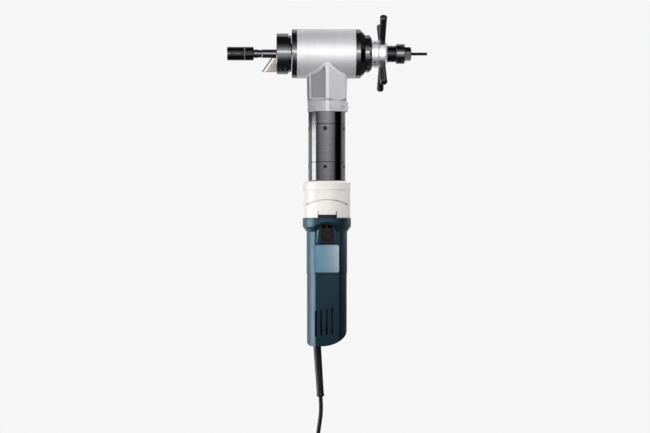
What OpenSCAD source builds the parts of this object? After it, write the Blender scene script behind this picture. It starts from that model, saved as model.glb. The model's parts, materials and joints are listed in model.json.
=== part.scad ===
// Pipe bevelling machine that grips the inside of a pipe with an expanding mandrel.
// X runs along the mandrel, from the jaws to the end of the draw rod. Z is up.
// The origin is in the middle of the jaws, on the mandrel's axis. The motor hangs below,
// with its shaft along Z, and -Y is the side with the switch.

/* [Mandrel and jaws] */
// Diameter over the closed jaws
jaw_d = 20.4; // [19.6:0.1:24]
// Length of the jaws
jaw_l = 39.6; // [36:0.1:44]
// How far each jaw moves outwards
jaw_travel = 1.5; // [0.5:0.1:1.5]
// Slot between two jaws
jaw_slot = 1.6; // [1:0.1:2.4]
// Slope of the wedge under the jaws, in degrees
wedge_angle = 6; // [5.6:0.1:6.4]
// Height of the wedge's flats over the axis, in the middle of the jaws
wedge_h = 4.2; // [4:0.1:4.4]
// Distance from the middle of the jaws to the ring that holds them in
jaw_ring_x = 6.3; // [2:0.1:10]
// Thickness of that ring
jaw_ring_t = 1.7; // [1.2:0.1:2]
// Diameter of the mandrel behind the jaws
mandrel_d = 13; // [12.4:0.1:14]
// Diameter of the waist in that stretch
waist_d = 11.8; // [11:0.1:12.2]
// Diameter of the mandrel's guide inside the spindle
guide_d = 22; // [21:0.1:23]
// Diameter of the mandrel under the threaded sleeve
mandrel_tail_d = 18; // [17:0.1:19]
// Diameter of the draw rod
rod_d = 4.7; // [4:0.1:5]
// Draw rod that stands out of the clamp nut
rod_out = 24; // [16:0.5:40]
// Outer diameter of the threaded feed sleeve
thread_d = 26; // [25:0.1:27]
// Diameter of the collar at the end of the mandrel
collar_d = 30; // [28:0.1:34]
// Length of that collar
collar_l = 13; // [8:0.1:20]
// Clamp nut, across its flats
nut_af = 18; // [14:0.1:20]
// Height of the clamp nut
nut_h = 9.8; // [6:0.1:14]

/* [Cutter head] */
// Bare mandrel between the jaws and the cutter head
jaw_to_head = 34.4; // [32:0.1:46]
// Diameter of the cutter head
head_d = 61; // [59:0.1:66]
// Length of the cutter head's rim
head_l = 17.6; // [17:0.1:20]
// Diameter of the step behind the rim
head_step_d = 56; // [46:0.1:58]
// Length of that step
head_step_l = 2.6; // [2:0.1:4]
// Thickness of the cutter head's front web
head_web_t = 5.8; // [5:0.1:7]
// Gap between the cutter head and the front ring
nose_gap = 2.3; // [2.2:0.1:4]
// Width of the blade
blade_t = 8; // [6:0.1:10]
// Angle of the cutting edge to the pipe's end face, in degrees
bevel_angle = 34.5; // [30:0.5:37.5]
// Distance from the axis to the tip of the blade
blade_r = 27.3; // [25:0.1:28]
// How far the tip of the blade stands out of the cutter head
blade_out = 22.6; // [21:0.1:23]
// Diameter of the blade's clamp screws
blade_screw_d = 5; // [4:0.1:6]
// Distance from the axis to those screws
blade_screw_r = 24; // [22:0.1:24]

/* [Spindle and gears] */
// Outer diameter of the hollow spindle
spindle_d = 30; // [28:0.1:31]
// Width of the front bearing
front_bearing_w = 16; // [12:0.1:16]
// Width of the rear bearing
rear_bearing_w = 13; // [11:0.1:13]
// Outer diameter of the rear bearing
rear_bearing_d = 52; // [48:0.1:54]
// Module of the bevel gears
bevel_module = 2; // [1.9:0.05:2.05]
// Teeth on the bevel gear
gear_teeth = 26; // [26:2:26]
// Teeth on the bevel pinion
pinion_teeth = 13; // [13:1:13]
// Length of the bevel teeth, as a share of the cone
bevel_face = 0.3; // [0.25:0.01:0.32]
// Diameter of the pinion shaft
pinion_shaft_d = 16; // [14:0.1:17]
// Outer diameter of the pinion's bearings
pinion_bearing_d = 32; // [30:0.1:34]
// Width of the pinion's bearings
pinion_bearing_w = 10; // [8:0.1:11]
// Pitch radius of the sun gears
sun_r = 6; // [5.8:0.1:6.2]
// Pitch radius of the planet gears
planet_r = 7.5; // [7.4:0.05:7.6]
// Width of the planet gears in the last stage
planet_w = 13; // [11:0.1:14]
// Thickness of a planet carrier
carrier_t = 4; // [3:0.1:4.2]

/* [Gear housing] */
// Diameter of the barrel
barrel_d = 74; // [73:0.1:78]
// Length of the barrel's aluminium casting
barrel_l = 87.5; // [87:0.1:96]
// Length of the black front ring
front_ring_l = 8; // [7:0.1:10]
// How far the motor's shaft lies behind the middle of the barrel
axis_offset = 1; // [0:0.1:1.5]
// Width of the six-sided neck at its bottom, across its flats
neck_af = 57.8; // [57:0.1:60]
// Distance from the axis to the neck's bevelled corners at its bottom
neck_corner_r = 31.8; // [31:0.1:32.6]
// Draft of the neck's faces, in degrees
neck_draft = 1.2; // [0:0.1:2]
// Distance from the mandrel's axis to the bottom of the neck
neck_l = 87.6; // [84:0.1:96]
// Height of the round collar at the bottom of the neck
neck_collar_h = 16; // [10:0.1:20]
// Depth of the pockets in two of the neck's faces
pocket_t = 1.2; // [0.6:0.1:1.6]
// How far the clamp lug stands out beside the neck's collar
lug_out = 2.8; // [1:0.1:4]
// Width of the clamp lug
lug_w = 22; // [14:0.5:26]
// Length of the rear cap behind the barrel
cap_l = 24; // [23:0.1:28]
// Length of the cap's full diameter
cap_rim_l = 6.8; // [5:0.1:9]
// Diameter of the cap's notched neck
cap_neck_d = 56; // [52:0.1:58]

/* [Feed hub] */
// Diameter of the hub's locking ring
hub_ring_d = 42; // [40:0.1:44]
// Length of the locking ring
hub_ring_l = 10; // [8:0.1:11]
// Diameter of the hub where the arms stand
hub_d = 40; // [38:0.1:42]
// Length of the hub where the arms stand
hub_head_l = 12; // [11.6:0.1:14]
// Distance from the axis to the tip of an arm
arm_r = 69.5; // [60:0.5:80]
// Diameter of an arm where it leaves the hub
arm_root_d = 8.4; // [7:0.1:9]
// Diameter of an arm near its tip
arm_tip_d = 10.8; // [9:0.1:12]
// Turn of the first arm from straight up, towards the switch side, in degrees
arm_turn = 43; // [0:1:89]
// How far the machine moves forwards on the mandrel
feed_forward = 20; // [10:0.5:20]
// How far the machine moves back on the mandrel
feed_back = 12; // [6:0.5:12]

/* [Gear tube] */
// Diameter of the black gear tube
tube_d = 56; // [55:0.1:59]
// Length of the upper section
tube_upper_l = 18.4; // [18:0.1:22]
// Length of the middle section
tube_middle_l = 57; // [52:0.1:64]
// Length of the lower section
tube_lower_l = 28.2; // [26:0.1:36]
// Depth of the spigots that join the sections
spigot_l = 13; // [12:0.1:13.4]
// Distance from a joint to its row of screws
screw_drop = 7; // [6:0.1:8]
// Number of screws round the tube in each row
screw_count = 5; // [4:1:6]
// Place of the first screw of a row round the tube's axis
screw_turn = -96.5; // [-110:0.5:-80]
// Diameter of the heads in the upper row
upper_screw_d = 6.2; // [5:0.1:7]
// Diameter of the heads in the lower row
lower_screw_d = 5.2; // [4.4:0.1:6]

/* [Adapter and motor] */
// Diameter of the white adapter
adapter_d = 71; // [70:0.1:74]
// Length of the adapter
adapter_l = 54.8; // [52:0.1:62]
// Height of the adapter's rim
adapter_rim_h = 12.8; // [8:0.1:16]
// Height of the adapter's curved seam over its ends
seam_rise = 7; // [3:0.5:9]
// Width of the tongue between the motor and the adapter
tongue_w = 27; // [20:0.5:32]
// Height of the tongue
tongue_h = 4.6; // [3:0.1:6]
// Diameter of the motor housing's flange
flare_d = 72.6; // [71:0.1:76]
// Height of that flange
flare_h = 13; // [11:0.1:16]
// Height of the cone below the flange
flare_cone_h = 8; // [6:0.1:12]
// Diameter of the motor housing's grip
grip_d = 61; // [60:0.1:64]
// Distance from the motor's axis to the flat on the grip
grip_flat = 24.5; // [24:0.1:26]
// Length of the motor housing, down to the seam
housing_l = 83.5; // [82:0.1:92]
// Diameter of the rear cover
cover_d = 59.8; // [59:0.1:62]
// Length of the rear cover
cover_l = 107.5; // [104:0.5:118]
// Thickness of the motor's plastic walls
wall = 2.8; // [2.2:0.1:3]
// How much shorter the rear cover is behind the cord
cover_rise = 23; // [16:0.5:26]
// Radius of the rear cover's corner beside the cord
cover_corner_r = 6; // [4:0.5:8]
// Number of air slots on each side of the rear cover
vent_count = 4; // [2:1:4]
// Distance between two air slots
vent_pitch = 8.1; // [6:0.1:8.4]
// Width of an air slot
vent_w = 2.8; // [2:0.1:3.6]
// Height of an air slot
vent_h = 38; // [26:0.5:40]
// Width of the switch's frame
switch_w = 20.6; // [18:0.1:23]
// Height of the switch's frame
switch_h = 28; // [26:0.1:29]
// How far the switch's frame stands out of the grip's flat
switch_out = 4.4; // [3:0.1:5]
// Width of the sliding button
button_w = 15; // [12:0.1:16]
// How far the button slides
button_travel = 3.5; // [2:0.1:4]
// Width of the bare label plate
label_w = 35; // [28:0.1:36]
// Height of the bare label plate
label_h = 40.8; // [30:0.1:44]

/* [Cord] */
// Diameter of the cord
cord_d = 6.4; // [6:0.1:6.6]
// Length of the strain relief outside the cover
relief_l = 77; // [77:0.5:77]
// Diameter of the strain relief at its root
relief_d = 11.6; // [10:0.1:13]
// Length of the plug's body
plug_l = 46; // [40:0.5:56]
// Diameter of the plug's body
plug_d = 36; // [32:0.5:38]
// Length of the plug's pins
pin_l = 19; // [17:0.5:20]
// Diameter of the plug's pins
pin_d = 4.8; // [4:0.1:5]

/* [Hidden] */
fine = 96;
far = 200;
// clearances: running fit, sliding fit, a seated piece, and a gap between two end faces
run_gap = 0.05;
slide_gap = 0.1;
seat_gap = 0.03;
face_gap = 0.1;
edge = 0.8;

// stations along X
jaw_x1 = jaw_l / 2;
head_x0 = jaw_x1 + jaw_to_head;
head_x1 = head_x0 + head_l;
head_x2 = head_x1 + head_step_l;
web_x = head_x0 + head_web_t;
ring_x0 = head_x2 + nose_gap;
barrel_x0 = ring_x0 + front_ring_l;
barrel_x1 = barrel_x0 + barrel_l;
axis_x = barrel_x0 + barrel_l / 2 + axis_offset;
rear_bearing_x0 = axis_x + 20;
rear_bearing_x1 = rear_bearing_x0 + rear_bearing_w;
bush_x0 = rear_bearing_x1 + 1.2;
flange_x0 = barrel_x1 + 5.6;
flange_x1 = flange_x0 + 4;
cap_x1 = barrel_x1 + cap_l;
hub_ring_x0 = cap_x1 + face_gap * 3;
hub_ring_x1 = hub_ring_x0 + hub_ring_l;
hub_head_x0 = hub_ring_x1 + 0.8;
hub_x1 = hub_head_x0 + hub_head_l;
arm_x = hub_head_x0 + hub_head_l * 0.4;
sleeve_x0 = barrel_x1 + feed_back + 1;
sleeve_x1 = hub_x1 + feed_back + 1.7;
collar_x1 = sleeve_x1 + collar_l;
nut_x1 = collar_x1 + face_gap + nut_h;
rod_x1 = nut_x1 + rod_out;
shoulder_x = web_x + feed_back + 1;
key_x0 = bush_x0 - feed_forward - 2;

// radii around the mandrel
spindle_r = spindle_d / 2;
spindle_bore_r = guide_d / 2 + slide_gap;
bearing_step = 2;
bush_r = 22;
hub_shank_r = 17;
rod_hole_r = rod_d / 2 + slide_gap;
key_w = 4;
key_h = 2;
wedge_turn = 30;
ridge_turn = -90;
neck_face_turn = 30;
groove_rise = [3.5, 7.2];
groove_h = 0.5;
pocket_x0 = 10.5;
pocket_w = 25;

// stations along Z, below the mandrel's axis
tube_z0 = -neck_l;
tube_z1 = tube_z0 - tube_upper_l;
tube_z2 = tube_z1 - tube_middle_l;
adapter_z0 = tube_z2 - tube_lower_l;
motor_z0 = adapter_z0 - adapter_l;
seam_z = motor_z0 - housing_l;
cover_z1 = seam_z - cover_l;
grip_z0 = motor_z0 - flare_h - flare_cone_h;
switch_z = motor_z0 - 23.5;
seam_hole_z = motor_z0 + 20;
seam_turn = 32;
label_z = seam_z + 2.4 + label_h / 2;

// gear train
gear_r = bevel_module * gear_teeth / 2;
chamber_gap = 3;
chamber_r = gear_r + chamber_gap;
pinion_r = bevel_module * pinion_teeth / 2;
carrier_r = sun_r + planet_r;
ring_gear_r = sun_r + 2 * planet_r;
mesh_gap = 0.12;
planet_pin_r = 2.5;
stage_z3 = tube_z1 - 0.6;
stage_z2 = stage_z3 - planet_w - 1.2 - carrier_t - 0.6;
stage_z1 = stage_z2 - (planet_w - 1) - 1.2 - carrier_t - 0.6;
stage_end = stage_z1 - (planet_w - 2);
pinion_z1 = stage_z3 + 0.2 + carrier_t;
screw_l = 5;
screw_sink = 0.6;
neck_bearing_z0 = -gear_r - 12;
neck_bearing_z1 = tube_z0 + 5 + pinion_bearing_w;

// motor
shaft_r = 4;
motor_bearing_r = 11;
motor_bearing_w = 8;
fan_z0 = motor_z0 + 3;
fan_h = 11;
fan_r = 27;
stator_gap = 26;
stator_z0 = fan_z0 - fan_h - stator_gap;
stator_h = 44;
rotor_r = 15;
air_gap = 0.6;
stator_flat = 21.5;
commutator_z0 = stator_z0 - stator_h - 14;
commutator_h = 18;
commutator_r = 12;
rear_bearing_z0 = commutator_z0 - commutator_h - 12;
shaft_z1 = rear_bearing_z0 - motor_bearing_w - 1;
frame_r = 19;
coil_r = rotor_r + 4.6;
brush_z = commutator_z0 - commutator_h / 2;
brush_w = 7;
brush_h = 10;
holder_w = 12;
holder_h = 16;
switch_block_z = shaft_z1 - 8;
switch_block_w = 18;
switch_block_h = 26;
throat_z = motor_z0 + 24;
scoop_h = 14;
link_w = 8;
link_t = 1.2;
button_h = switch_h - button_travel - 4;
button_z0 = switch_z - switch_h / 2 + 2;
relief_x = axis_x - 14.6;
relief_lean = 3.8;
relief_root = 8;
baffle_y = 4;
baffle_t = 1.6;
seam_w = 1.4;
seam_t = 2.4;
clearance_angle = 12;
edge_facet_w = 2;
edge_facet_t = 1.8;
face_facet_w = 3.4;
face_facet_t = 0.6;

// cord: route from the strain relief to the hank, chosen by hand
cord_points = [
    [120, 0, -513.9], [120.3, 0, -520.2], [120.6, 0, -527], [120.6, 0, -534],
    [120.2, 0, -541], [119.4, 0, -548], [118.4, 0, -555], [117.4, 0, -562],
    [116.5, 0, -569], [115.8, -1, -577], [115.3, -2, -586], [115.1, -3, -596],
    [115, -3.6, -606], [115, -3.6, -616]
];
cord_sides = 8;
// hank: straight start, turns, length of a run, inner fold, step from loop to loop and layer to layer
hank_lead = 10;
hank_turns = 5;
hank_run = 124;
hank_fold_r = 19.6;
hank_step = 7.9;
hank_layer = 7.2;
hank_waist = 15.4;
hank_rings = 24;
hank_tail = 58;
hank_sides = 6;

// solids of revolution about the mandrel and about the motor's shaft
module lathe_x(outline) {
    rotate([0, 90, 0]) rotate_extrude($fn = fine) polygon(outline);
}
module lathe_z(outline) {
    translate([axis_x, 0, 0]) rotate_extrude($fn = fine) polygon(outline);
}
module sleeve_x(r0, r1, x0, x1) {
    lathe_x([[r0, x0], [r1, x0], [r1, x1], [r0, x1]]);
}
module sleeve_z(r0, r1, z0, z1) {
    lathe_z([[r0, z0], [r1, z0], [r1, z1], [r0, z1]]);
}
module bar_x(r, x0, x1) {
    translate([x0, 0, 0]) rotate([0, 90, 0]) cylinder(r = r, h = x1 - x0, $fn = fine);
}
module bar_z(r, z0, z1) {
    translate([axis_x, 0, z0]) cylinder(r = r, h = z1 - z0, $fn = fine);
}
module around_x(count, start = 0) {
    for (i = [0 : count - 1]) rotate([start + i * 360 / count, 0, 0]) children();
}
module around_z(count, start = 0) {
    translate([axis_x, 0, 0])
        for (i = [0 : count - 1]) rotate([0, 0, start + i * 360 / count]) children();
}
module block(x0, x1, y0, y1, z0, z1) {
    translate([x0, y0, z0]) cube([x1 - x0, y1 - y0, z1 - z0]);
}

// everything on the outer side of a plane that slopes down towards +X
module above_slope(h, angle, over = 0) {
    translate([0, 0, h + over]) rotate([0, angle, 0])
        translate([-far, -far, 0]) cube([2 * far, 2 * far, far]);
}

module mandrel_shaft() {
    r = mandrel_d / 2;
    g = guide_d / 2;
    waist_x = jaw_x1 + 6.4;
    color("#26272a") difference() {
        lathe_x([
            [rod_hole_r, jaw_x1 + face_gap], [r - edge, jaw_x1 + face_gap],
            [r, jaw_x1 + face_gap + edge], [r, waist_x], [waist_d / 2, waist_x + 1],
            [waist_d / 2, waist_x + 6], [r, waist_x + 7], [r, shoulder_x],
            [g, shoulder_x + g - r], [g, sleeve_x0 - face_gap],
            [mandrel_tail_d / 2, sleeve_x0 - face_gap],
            [mandrel_tail_d / 2, collar_x1], [rod_hole_r, collar_x1]
        ]);
        block(key_x0, sleeve_x0, g - key_h, g + 1, -key_w / 2, key_w / 2);
    }
}

module thread_sleeve() {
    r = thread_d / 2;
    color("#1c1d20") lathe_x([
        [mandrel_tail_d / 2 + seat_gap, sleeve_x0], [r - edge, sleeve_x0],
        [r, sleeve_x0 + edge], [r, sleeve_x1], [mandrel_tail_d / 2 + seat_gap, sleeve_x1]
    ]);
}

module mandrel_collar() {
    r = collar_d / 2;
    color("#1c1d20") difference() {
        lathe_x([
            [mandrel_tail_d / 2 + seat_gap, sleeve_x1], [r - edge, sleeve_x1],
            [r, sleeve_x1 + edge], [r, collar_x1 - edge], [r - edge, collar_x1],
            [mandrel_tail_d / 2 + seat_gap, collar_x1]
        ]);
        around_x(4, 45)
            block(collar_x1 - 5, collar_x1 + 1, -2.5, 2.5, r - 2, r + 1);
    }
}

module draw_rod() {
    wedge_x0 = -jaw_x1 + 0.4;
    wedge_x1 = jaw_x1 - face_gap - jaw_travel / tan(wedge_angle) - 0.4;
    color("#2b2c2f") union() {
        difference() {
            bar_x(jaw_d / 2 - 2.2, wedge_x0, wedge_x1);
            around_x(3, wedge_turn) above_slope(wedge_h, wedge_angle);
        }
        bar_x(rod_d / 2, wedge_x1 - 1, rod_x1 - edge);
        translate([rod_x1 - edge, 0, 0]) rotate([0, 90, 0])
            cylinder(r1 = rod_d / 2, r2 = rod_d / 2 - edge, h = edge, $fn = fine);
    }
}

module clamp_nut() {
    x0 = collar_x1 + face_gap;
    corner = nut_af / 2 / cos(30);
    over_r = corner + 1;
    top_r = nut_af / 2 - edge;
    color("#202124") difference() {
        intersection() {
            translate([x0, 0, 0]) rotate([0, 90, 0]) rotate([0, 0, 15])
                cylinder(r = corner, h = nut_h, $fn = 6);
            lathe_x([
                [0, x0], [over_r, x0], [over_r, nut_x1 - (over_r - top_r) * tan(30)],
                [top_r, nut_x1], [0, nut_x1]
            ]);
        }
        bar_x(rod_d / 2 + run_gap, x0 - 1, nut_x1 + 1);
    }
}

// one jaw, pointing straight up
module jaw() {
    r = jaw_d / 2;
    groove = jaw_ring_t / 2 + 0.1;
    cut = jaw_slot / 2 / sin(60);
    difference() {
        intersection() {
            lathe_x([
                [1, -jaw_x1], [r - edge, -jaw_x1], [r, -jaw_x1 + edge],
                [r, jaw_ring_x - groove], [r - jaw_ring_t - 0.1, jaw_ring_x - groove],
                [r - jaw_ring_t - 0.1, jaw_ring_x + groove], [r, jaw_ring_x + groove],
                [r, jaw_x1 - edge], [r - edge, jaw_x1], [1, jaw_x1]
            ]);
            translate([-jaw_x1 - 1, 0, 0]) rotate([90, 0, 90]) linear_extrude(height = jaw_l + 2)
                polygon([
                    [0, cut], [far * sin(60), cut + far * cos(60)], [far, far],
                    [-far, far], [-far * sin(60), cut + far * cos(60)]
                ]);
            above_slope(wedge_h, wedge_angle, run_gap);
        }
        bar_x(rod_d / 2 + 0.5, -jaw_x1 - 1, jaw_x1 + 1);
    }
}
module jaw_1() { color("#2f3033") rotate([-90, 0, 0]) jaw(); }
module jaw_2() { color("#2f3033") rotate([30, 0, 0]) jaw(); }
module jaw_3() { color("#2f3033") rotate([150, 0, 0]) jaw(); }

module jaw_ring() {
    color("#c9c6bd") rotate([0, 90, 0]) translate([0, 0, jaw_ring_x])
        rotate_extrude($fn = fine) translate([(jaw_d - jaw_ring_t) / 2, 0])
            circle(d = jaw_ring_t, $fn = 24);
}

// room for the blade in the cutter head: a shallow part at the spindle, a deep one outside it
module blade_outline(gap = 0) {
    foot_r = mandrel_d / 2 + slide_gap * 3 - gap;
    step_r = spindle_r + 0.8 - gap;
    shallow_x = web_x - 1.6 + gap;
    deep_x = head_x1 - 1.6 + gap;
    tip_x = head_x0 - blade_out;
    inner_x = tip_x + (blade_r - foot_r) * tan(bevel_angle);
    polygon([
        [tip_x, -blade_r], [inner_x, -foot_r], [shallow_x, -foot_r],
        [shallow_x, -step_r], [deep_x, -step_r], [deep_x, -blade_r - (gap > 0 ? far : 0)],
        [tip_x, -blade_r - (gap > 0 ? far : 0)]
    ]);
}

module blade() {
    color("#c8a873") difference() {
        translate([0, blade_t / 2, 0]) rotate([90, 0, 0])
            linear_extrude(height = blade_t) blade_outline();
        // along the cutting edge: clearance behind it, a steep and a shallow facet on its face
        translate([head_x0 - blade_out, -blade_t / 2, -blade_r]) rotate([0, bevel_angle, 0]) {
            rotate([0, 0, -clearance_angle]) translate([-far, -far, -far / 2]) cube([far, 2 * far, far]);
            translate([0, 0, -far / 2]) linear_extrude(height = far) polygon([
                [-far, -far], [-far, edge_facet_t], [0, edge_facet_t], [edge_facet_w, face_facet_t],
                [edge_facet_w + face_facet_w, 0], [edge_facet_w + face_facet_w, -far]
            ]);
        }
    }
}

module blade_screw_places() {
    for (x = [head_x0 + 5.2, head_x0 + 12.6])
        translate([x, 0, -blade_screw_r]) rotate([90, 0, 0]) children();
}

module blade_screws() {
    r = blade_screw_d / 2;
    color("#17181a") blade_screw_places()
        translate([0, 0, blade_t / 2]) difference() {
            cylinder(r = r, h = 9, $fn = 48);
            translate([0, 0, 6.6]) cylinder(r = r * 0.55, h = 3, $fn = 6);
        }
}

module cutter_head() {
    r = head_d / 2;
    bore_r = mandrel_d / 2 + slide_gap;
    color("#1b1c1f") difference() {
        lathe_x([
            [bore_r, head_x0], [r - edge, head_x0], [r, head_x0 + edge], [r, head_x1],
            [head_step_d / 2, head_x1], [head_step_d / 2, head_x2],
            [spindle_r + seat_gap, head_x2], [spindle_r + seat_gap, web_x], [bore_r, web_x]
        ]);
        translate([0, blade_t / 2 + seat_gap, 0]) rotate([90, 0, 0])
            linear_extrude(height = blade_t + 2 * seat_gap) blade_outline(seat_gap);
        blade_screw_places() cylinder(r = blade_screw_d / 2 + seat_gap, h = r, $fn = 48);
    }
}

module spindle() {
    lip = ring_x0 - face_gap * 4;
    color("#9a9da1") lathe_x([
        [spindle_bore_r, web_x], [spindle_r, web_x], [spindle_r, head_x2 + face_gap],
        [spindle_r + 6, head_x2 + face_gap], [spindle_r + 6, lip],
        [spindle_r, lip], [spindle_r, rear_bearing_x1], [spindle_bore_r, rear_bearing_x1]
    ]);
}

module bevel_gear() {
    root = 1.25 * bevel_module;
    inner = 1 - bevel_face;
    back = rear_bearing_x0 - face_gap;
    color("#8d8f93") lathe_x([
        [spindle_r + seat_gap, axis_x + pinion_r * inner - 1],
        [gear_r * inner - root, axis_x + pinion_r * inner - 1],
        [gear_r * inner, axis_x + pinion_r * inner + mesh_gap],
        [gear_r, axis_x + pinion_r + mesh_gap], [gear_r, axis_x + pinion_r + 2.4],
        [gear_r - 5, back], [spindle_r + seat_gap, back]
    ]);
}

module bevel_pinion() {
    inner = 1 - bevel_face;
    r = pinion_shaft_d / 2;
    color("#8d8f93") lathe_z([
        [0, -gear_r * inner - mesh_gap], [pinion_r * inner, -gear_r * inner - mesh_gap],
        [pinion_r, -gear_r - mesh_gap], [pinion_r, -gear_r - 3],
        [pinion_r - 2.4, -gear_r - 5.4], [r + 2, neck_bearing_z0 + face_gap],
        [r, neck_bearing_z0 + face_gap], [r, pinion_z1], [0, pinion_z1]
    ]);
}

module pinion_bearings() {
    color("#b9bbbe") for (z = [neck_bearing_z0, neck_bearing_z1])
        sleeve_z(pinion_shaft_d / 2 + run_gap, pinion_bearing_d / 2, z - pinion_bearing_w, z);
}

// a planet carrier: a disc with three pins below it
module carrier(z, w) {
    sleeve_z(0, carrier_r + 4.4, z + 0.2, z + 0.2 + carrier_t);
    around_z(3) translate([carrier_r, 0, z - w])
        cylinder(r = planet_pin_r, h = w + 0.2 + carrier_t / 2, $fn = 32);
}
module planets(z, w) {
    around_z(3) translate([carrier_r, 0, z - w]) difference() {
        cylinder(r = planet_r - mesh_gap, h = w, $fn = 60);
        translate([0, 0, -1]) cylinder(r = planet_pin_r + run_gap, h = w + 2, $fn = 32);
    }
}
module carrier_3() { color("#85878b") carrier(stage_z3, planet_w); }
module planets_3() { color("#9c9ea2") planets(stage_z3, planet_w); }
module carrier_2() {
    color("#85878b") union() {
        carrier(stage_z2, planet_w - 1);
        bar_z(sun_r - mesh_gap, stage_z2 + carrier_t, stage_z3);
    }
}
module planets_2() { color("#9c9ea2") planets(stage_z2, planet_w - 1); }
module carrier_1() {
    color("#85878b") union() {
        carrier(stage_z1, planet_w - 2);
        bar_z(sun_r - mesh_gap, stage_z1 + carrier_t, stage_z2);
    }
}
module planets_1() { color("#9c9ea2") planets(stage_z1, planet_w - 2); }

module front_ring() {
    r = barrel_d / 2 - 0.2;
    seal_r = spindle_r + 6;
    color("#17181b") lathe_x([
        [seal_r + face_gap * 3, ring_x0], [r - 3, ring_x0], [r, ring_x0 + 3], [r, barrel_x0],
        [seal_r, barrel_x0], [seal_r, ring_x0 + 1.6], [seal_r + face_gap * 3, ring_x0 + 1.6]
    ]);
}
module front_seal() {
    color("#2a2a2b")
        sleeve_x(spindle_r + run_gap, spindle_r + 6 - seat_gap, ring_x0 + 1.8, barrel_x0 - 0.2);
}
module front_bearing() {
    color("#b9bbbe") sleeve_x(spindle_r + run_gap, chamber_r + bearing_step - seat_gap,
        barrel_x0, barrel_x0 + front_bearing_w);
}
module rear_bearing() {
    color("#b9bbbe") sleeve_x(spindle_r + run_gap, rear_bearing_d / 2 - seat_gap,
        rear_bearing_x0, rear_bearing_x1);
}
module guide_bush() {
    color("#b08d4f") union() {
        sleeve_x(guide_d / 2 + run_gap, bush_r - seat_gap, bush_x0, barrel_x1);
        block(bush_x0, barrel_x1, guide_d / 2 - key_h + 0.2, guide_d / 2 + 1,
            -key_w / 2 + run_gap, key_w / 2 - run_gap);
    }
}
module thrust_bearing() {
    color("#b9bbbe") sleeve_x(thread_d / 2 + 1, bush_r - 0.6, barrel_x1, flange_x0 - face_gap);
}

// the neck: a hexagon with a corner towards the switch side, bevelled corners and draft
module neck() {
    collar_r = neck_af / 2;
    collar_z = tube_z0 + neck_collar_h;
    corner = neck_corner_r + neck_l;
    difference() {
        lathe_z([
            [0, 0], [corner, 0], [corner, collar_z + corner - collar_r],
            [collar_r, collar_z], [collar_r, tube_z0], [0, tube_z0]
        ]);
        for (rise = groove_rise) lathe_z([
            [collar_r - groove_h, tube_z0 + rise],
            [collar_r + 1, tube_z0 + rise - 1 - groove_h], [collar_r + 1, tube_z0 + rise + 1 + groove_h]
        ]);
        for (i = [0 : 11])
            translate([axis_x, 0, tube_z0]) rotate([0, 0, i * neck_face_turn])
                translate([i % 2 == 0 ? neck_af / 2 : neck_corner_r, 0, 0])
                    rotate([0, neck_draft, 0]) translate([0, -far, 0]) cube(2 * far);
    }
}

// the lug beside the collar that takes the tube's lock screw
module clamp_lug() {
    out = neck_af / 2 + lug_out;
    r = 4;
    difference() {
        translate([axis_x, 0, 0]) rotate([90, 0, 0]) translate([0, 0, -lug_w / 2])
            linear_extrude(height = lug_w) polygon(concat(
                [[0, tube_z0 + 0.6]],
                [for (a = [-90 : 15 : 0])
                    [out - 2 + 2 * cos(a), tube_z0 + 2.6 + 2 * sin(a)]],
                [for (a = [0 : 15 : 90])
                    [out - r + r * cos(a), tube_z0 + neck_collar_h - r + r * sin(a)]],
                [[0, tube_z0 + neck_collar_h]]
            ));
        translate([axis_x + out - 3, 0, tube_z0 + neck_collar_h / 2]) rotate([0, 90, 0])
            cylinder(r = 2.6, h = 4, $fn = 32);
    }
}

module gear_housing() {
    r = barrel_d / 2;
    pocket_top = -r * 0.66;
    pocket_bottom = tube_z0 + neck_collar_h + 4;
    color("#c4c6c9") difference() {
        union() {
            lathe_x([
                [0, barrel_x0], [r, barrel_x0], [r, barrel_x1], [0, barrel_x1]
            ]);
            neck();
            clamp_lug();
        }
        bar_x(chamber_r + bearing_step, barrel_x0 - 1, barrel_x0 + front_bearing_w);
        bar_x(chamber_r, barrel_x0 - 1, rear_bearing_x0);
        bar_x(rear_bearing_d / 2, rear_bearing_x0 - 1, rear_bearing_x1);
        bar_x(bush_r - 1.5, rear_bearing_x1 - 1, bush_x0);
        bar_x(bush_r, bush_x0, barrel_x1 + 1);
        bar_z(pinion_bearing_d / 2 + seat_gap, tube_z0 - 1, -gear_r + 4);
        // a machined pocket in the face left of the ridge, and in the face opposite
        around_z(2, ridge_turn - neck_face_turn) translate([neck_af / 2 - pocket_t, -pocket_x0, pocket_bottom])
            rotate([0, neck_draft, 0]) cube([far, pocket_w, pocket_top - pocket_bottom]);
    }
}

module rear_cap() {
    r = barrel_d / 2 - 0.1;
    n = cap_neck_d / 2;
    cone = r - n - 1.6;
    color("#18191c") difference() {
        lathe_x([
            [bush_r + 0.4, barrel_x1], [r, barrel_x1], [r, barrel_x1 + cap_rim_l],
            [r - cone, barrel_x1 + cap_rim_l + cone], [n, barrel_x1 + cap_rim_l + cone],
            [n, cap_x1 - 3.4], [n - 4, cap_x1], [hub_shank_r + run_gap, cap_x1],
            [hub_shank_r + run_gap, flange_x1 + face_gap], [bush_r + 0.4, flange_x1 + face_gap]
        ]);
        around_x(6, 20)
            block(cap_x1 - 7, cap_x1 + 1, -3.2, 3.2, n - 3.6, far);
    }
}

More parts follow.
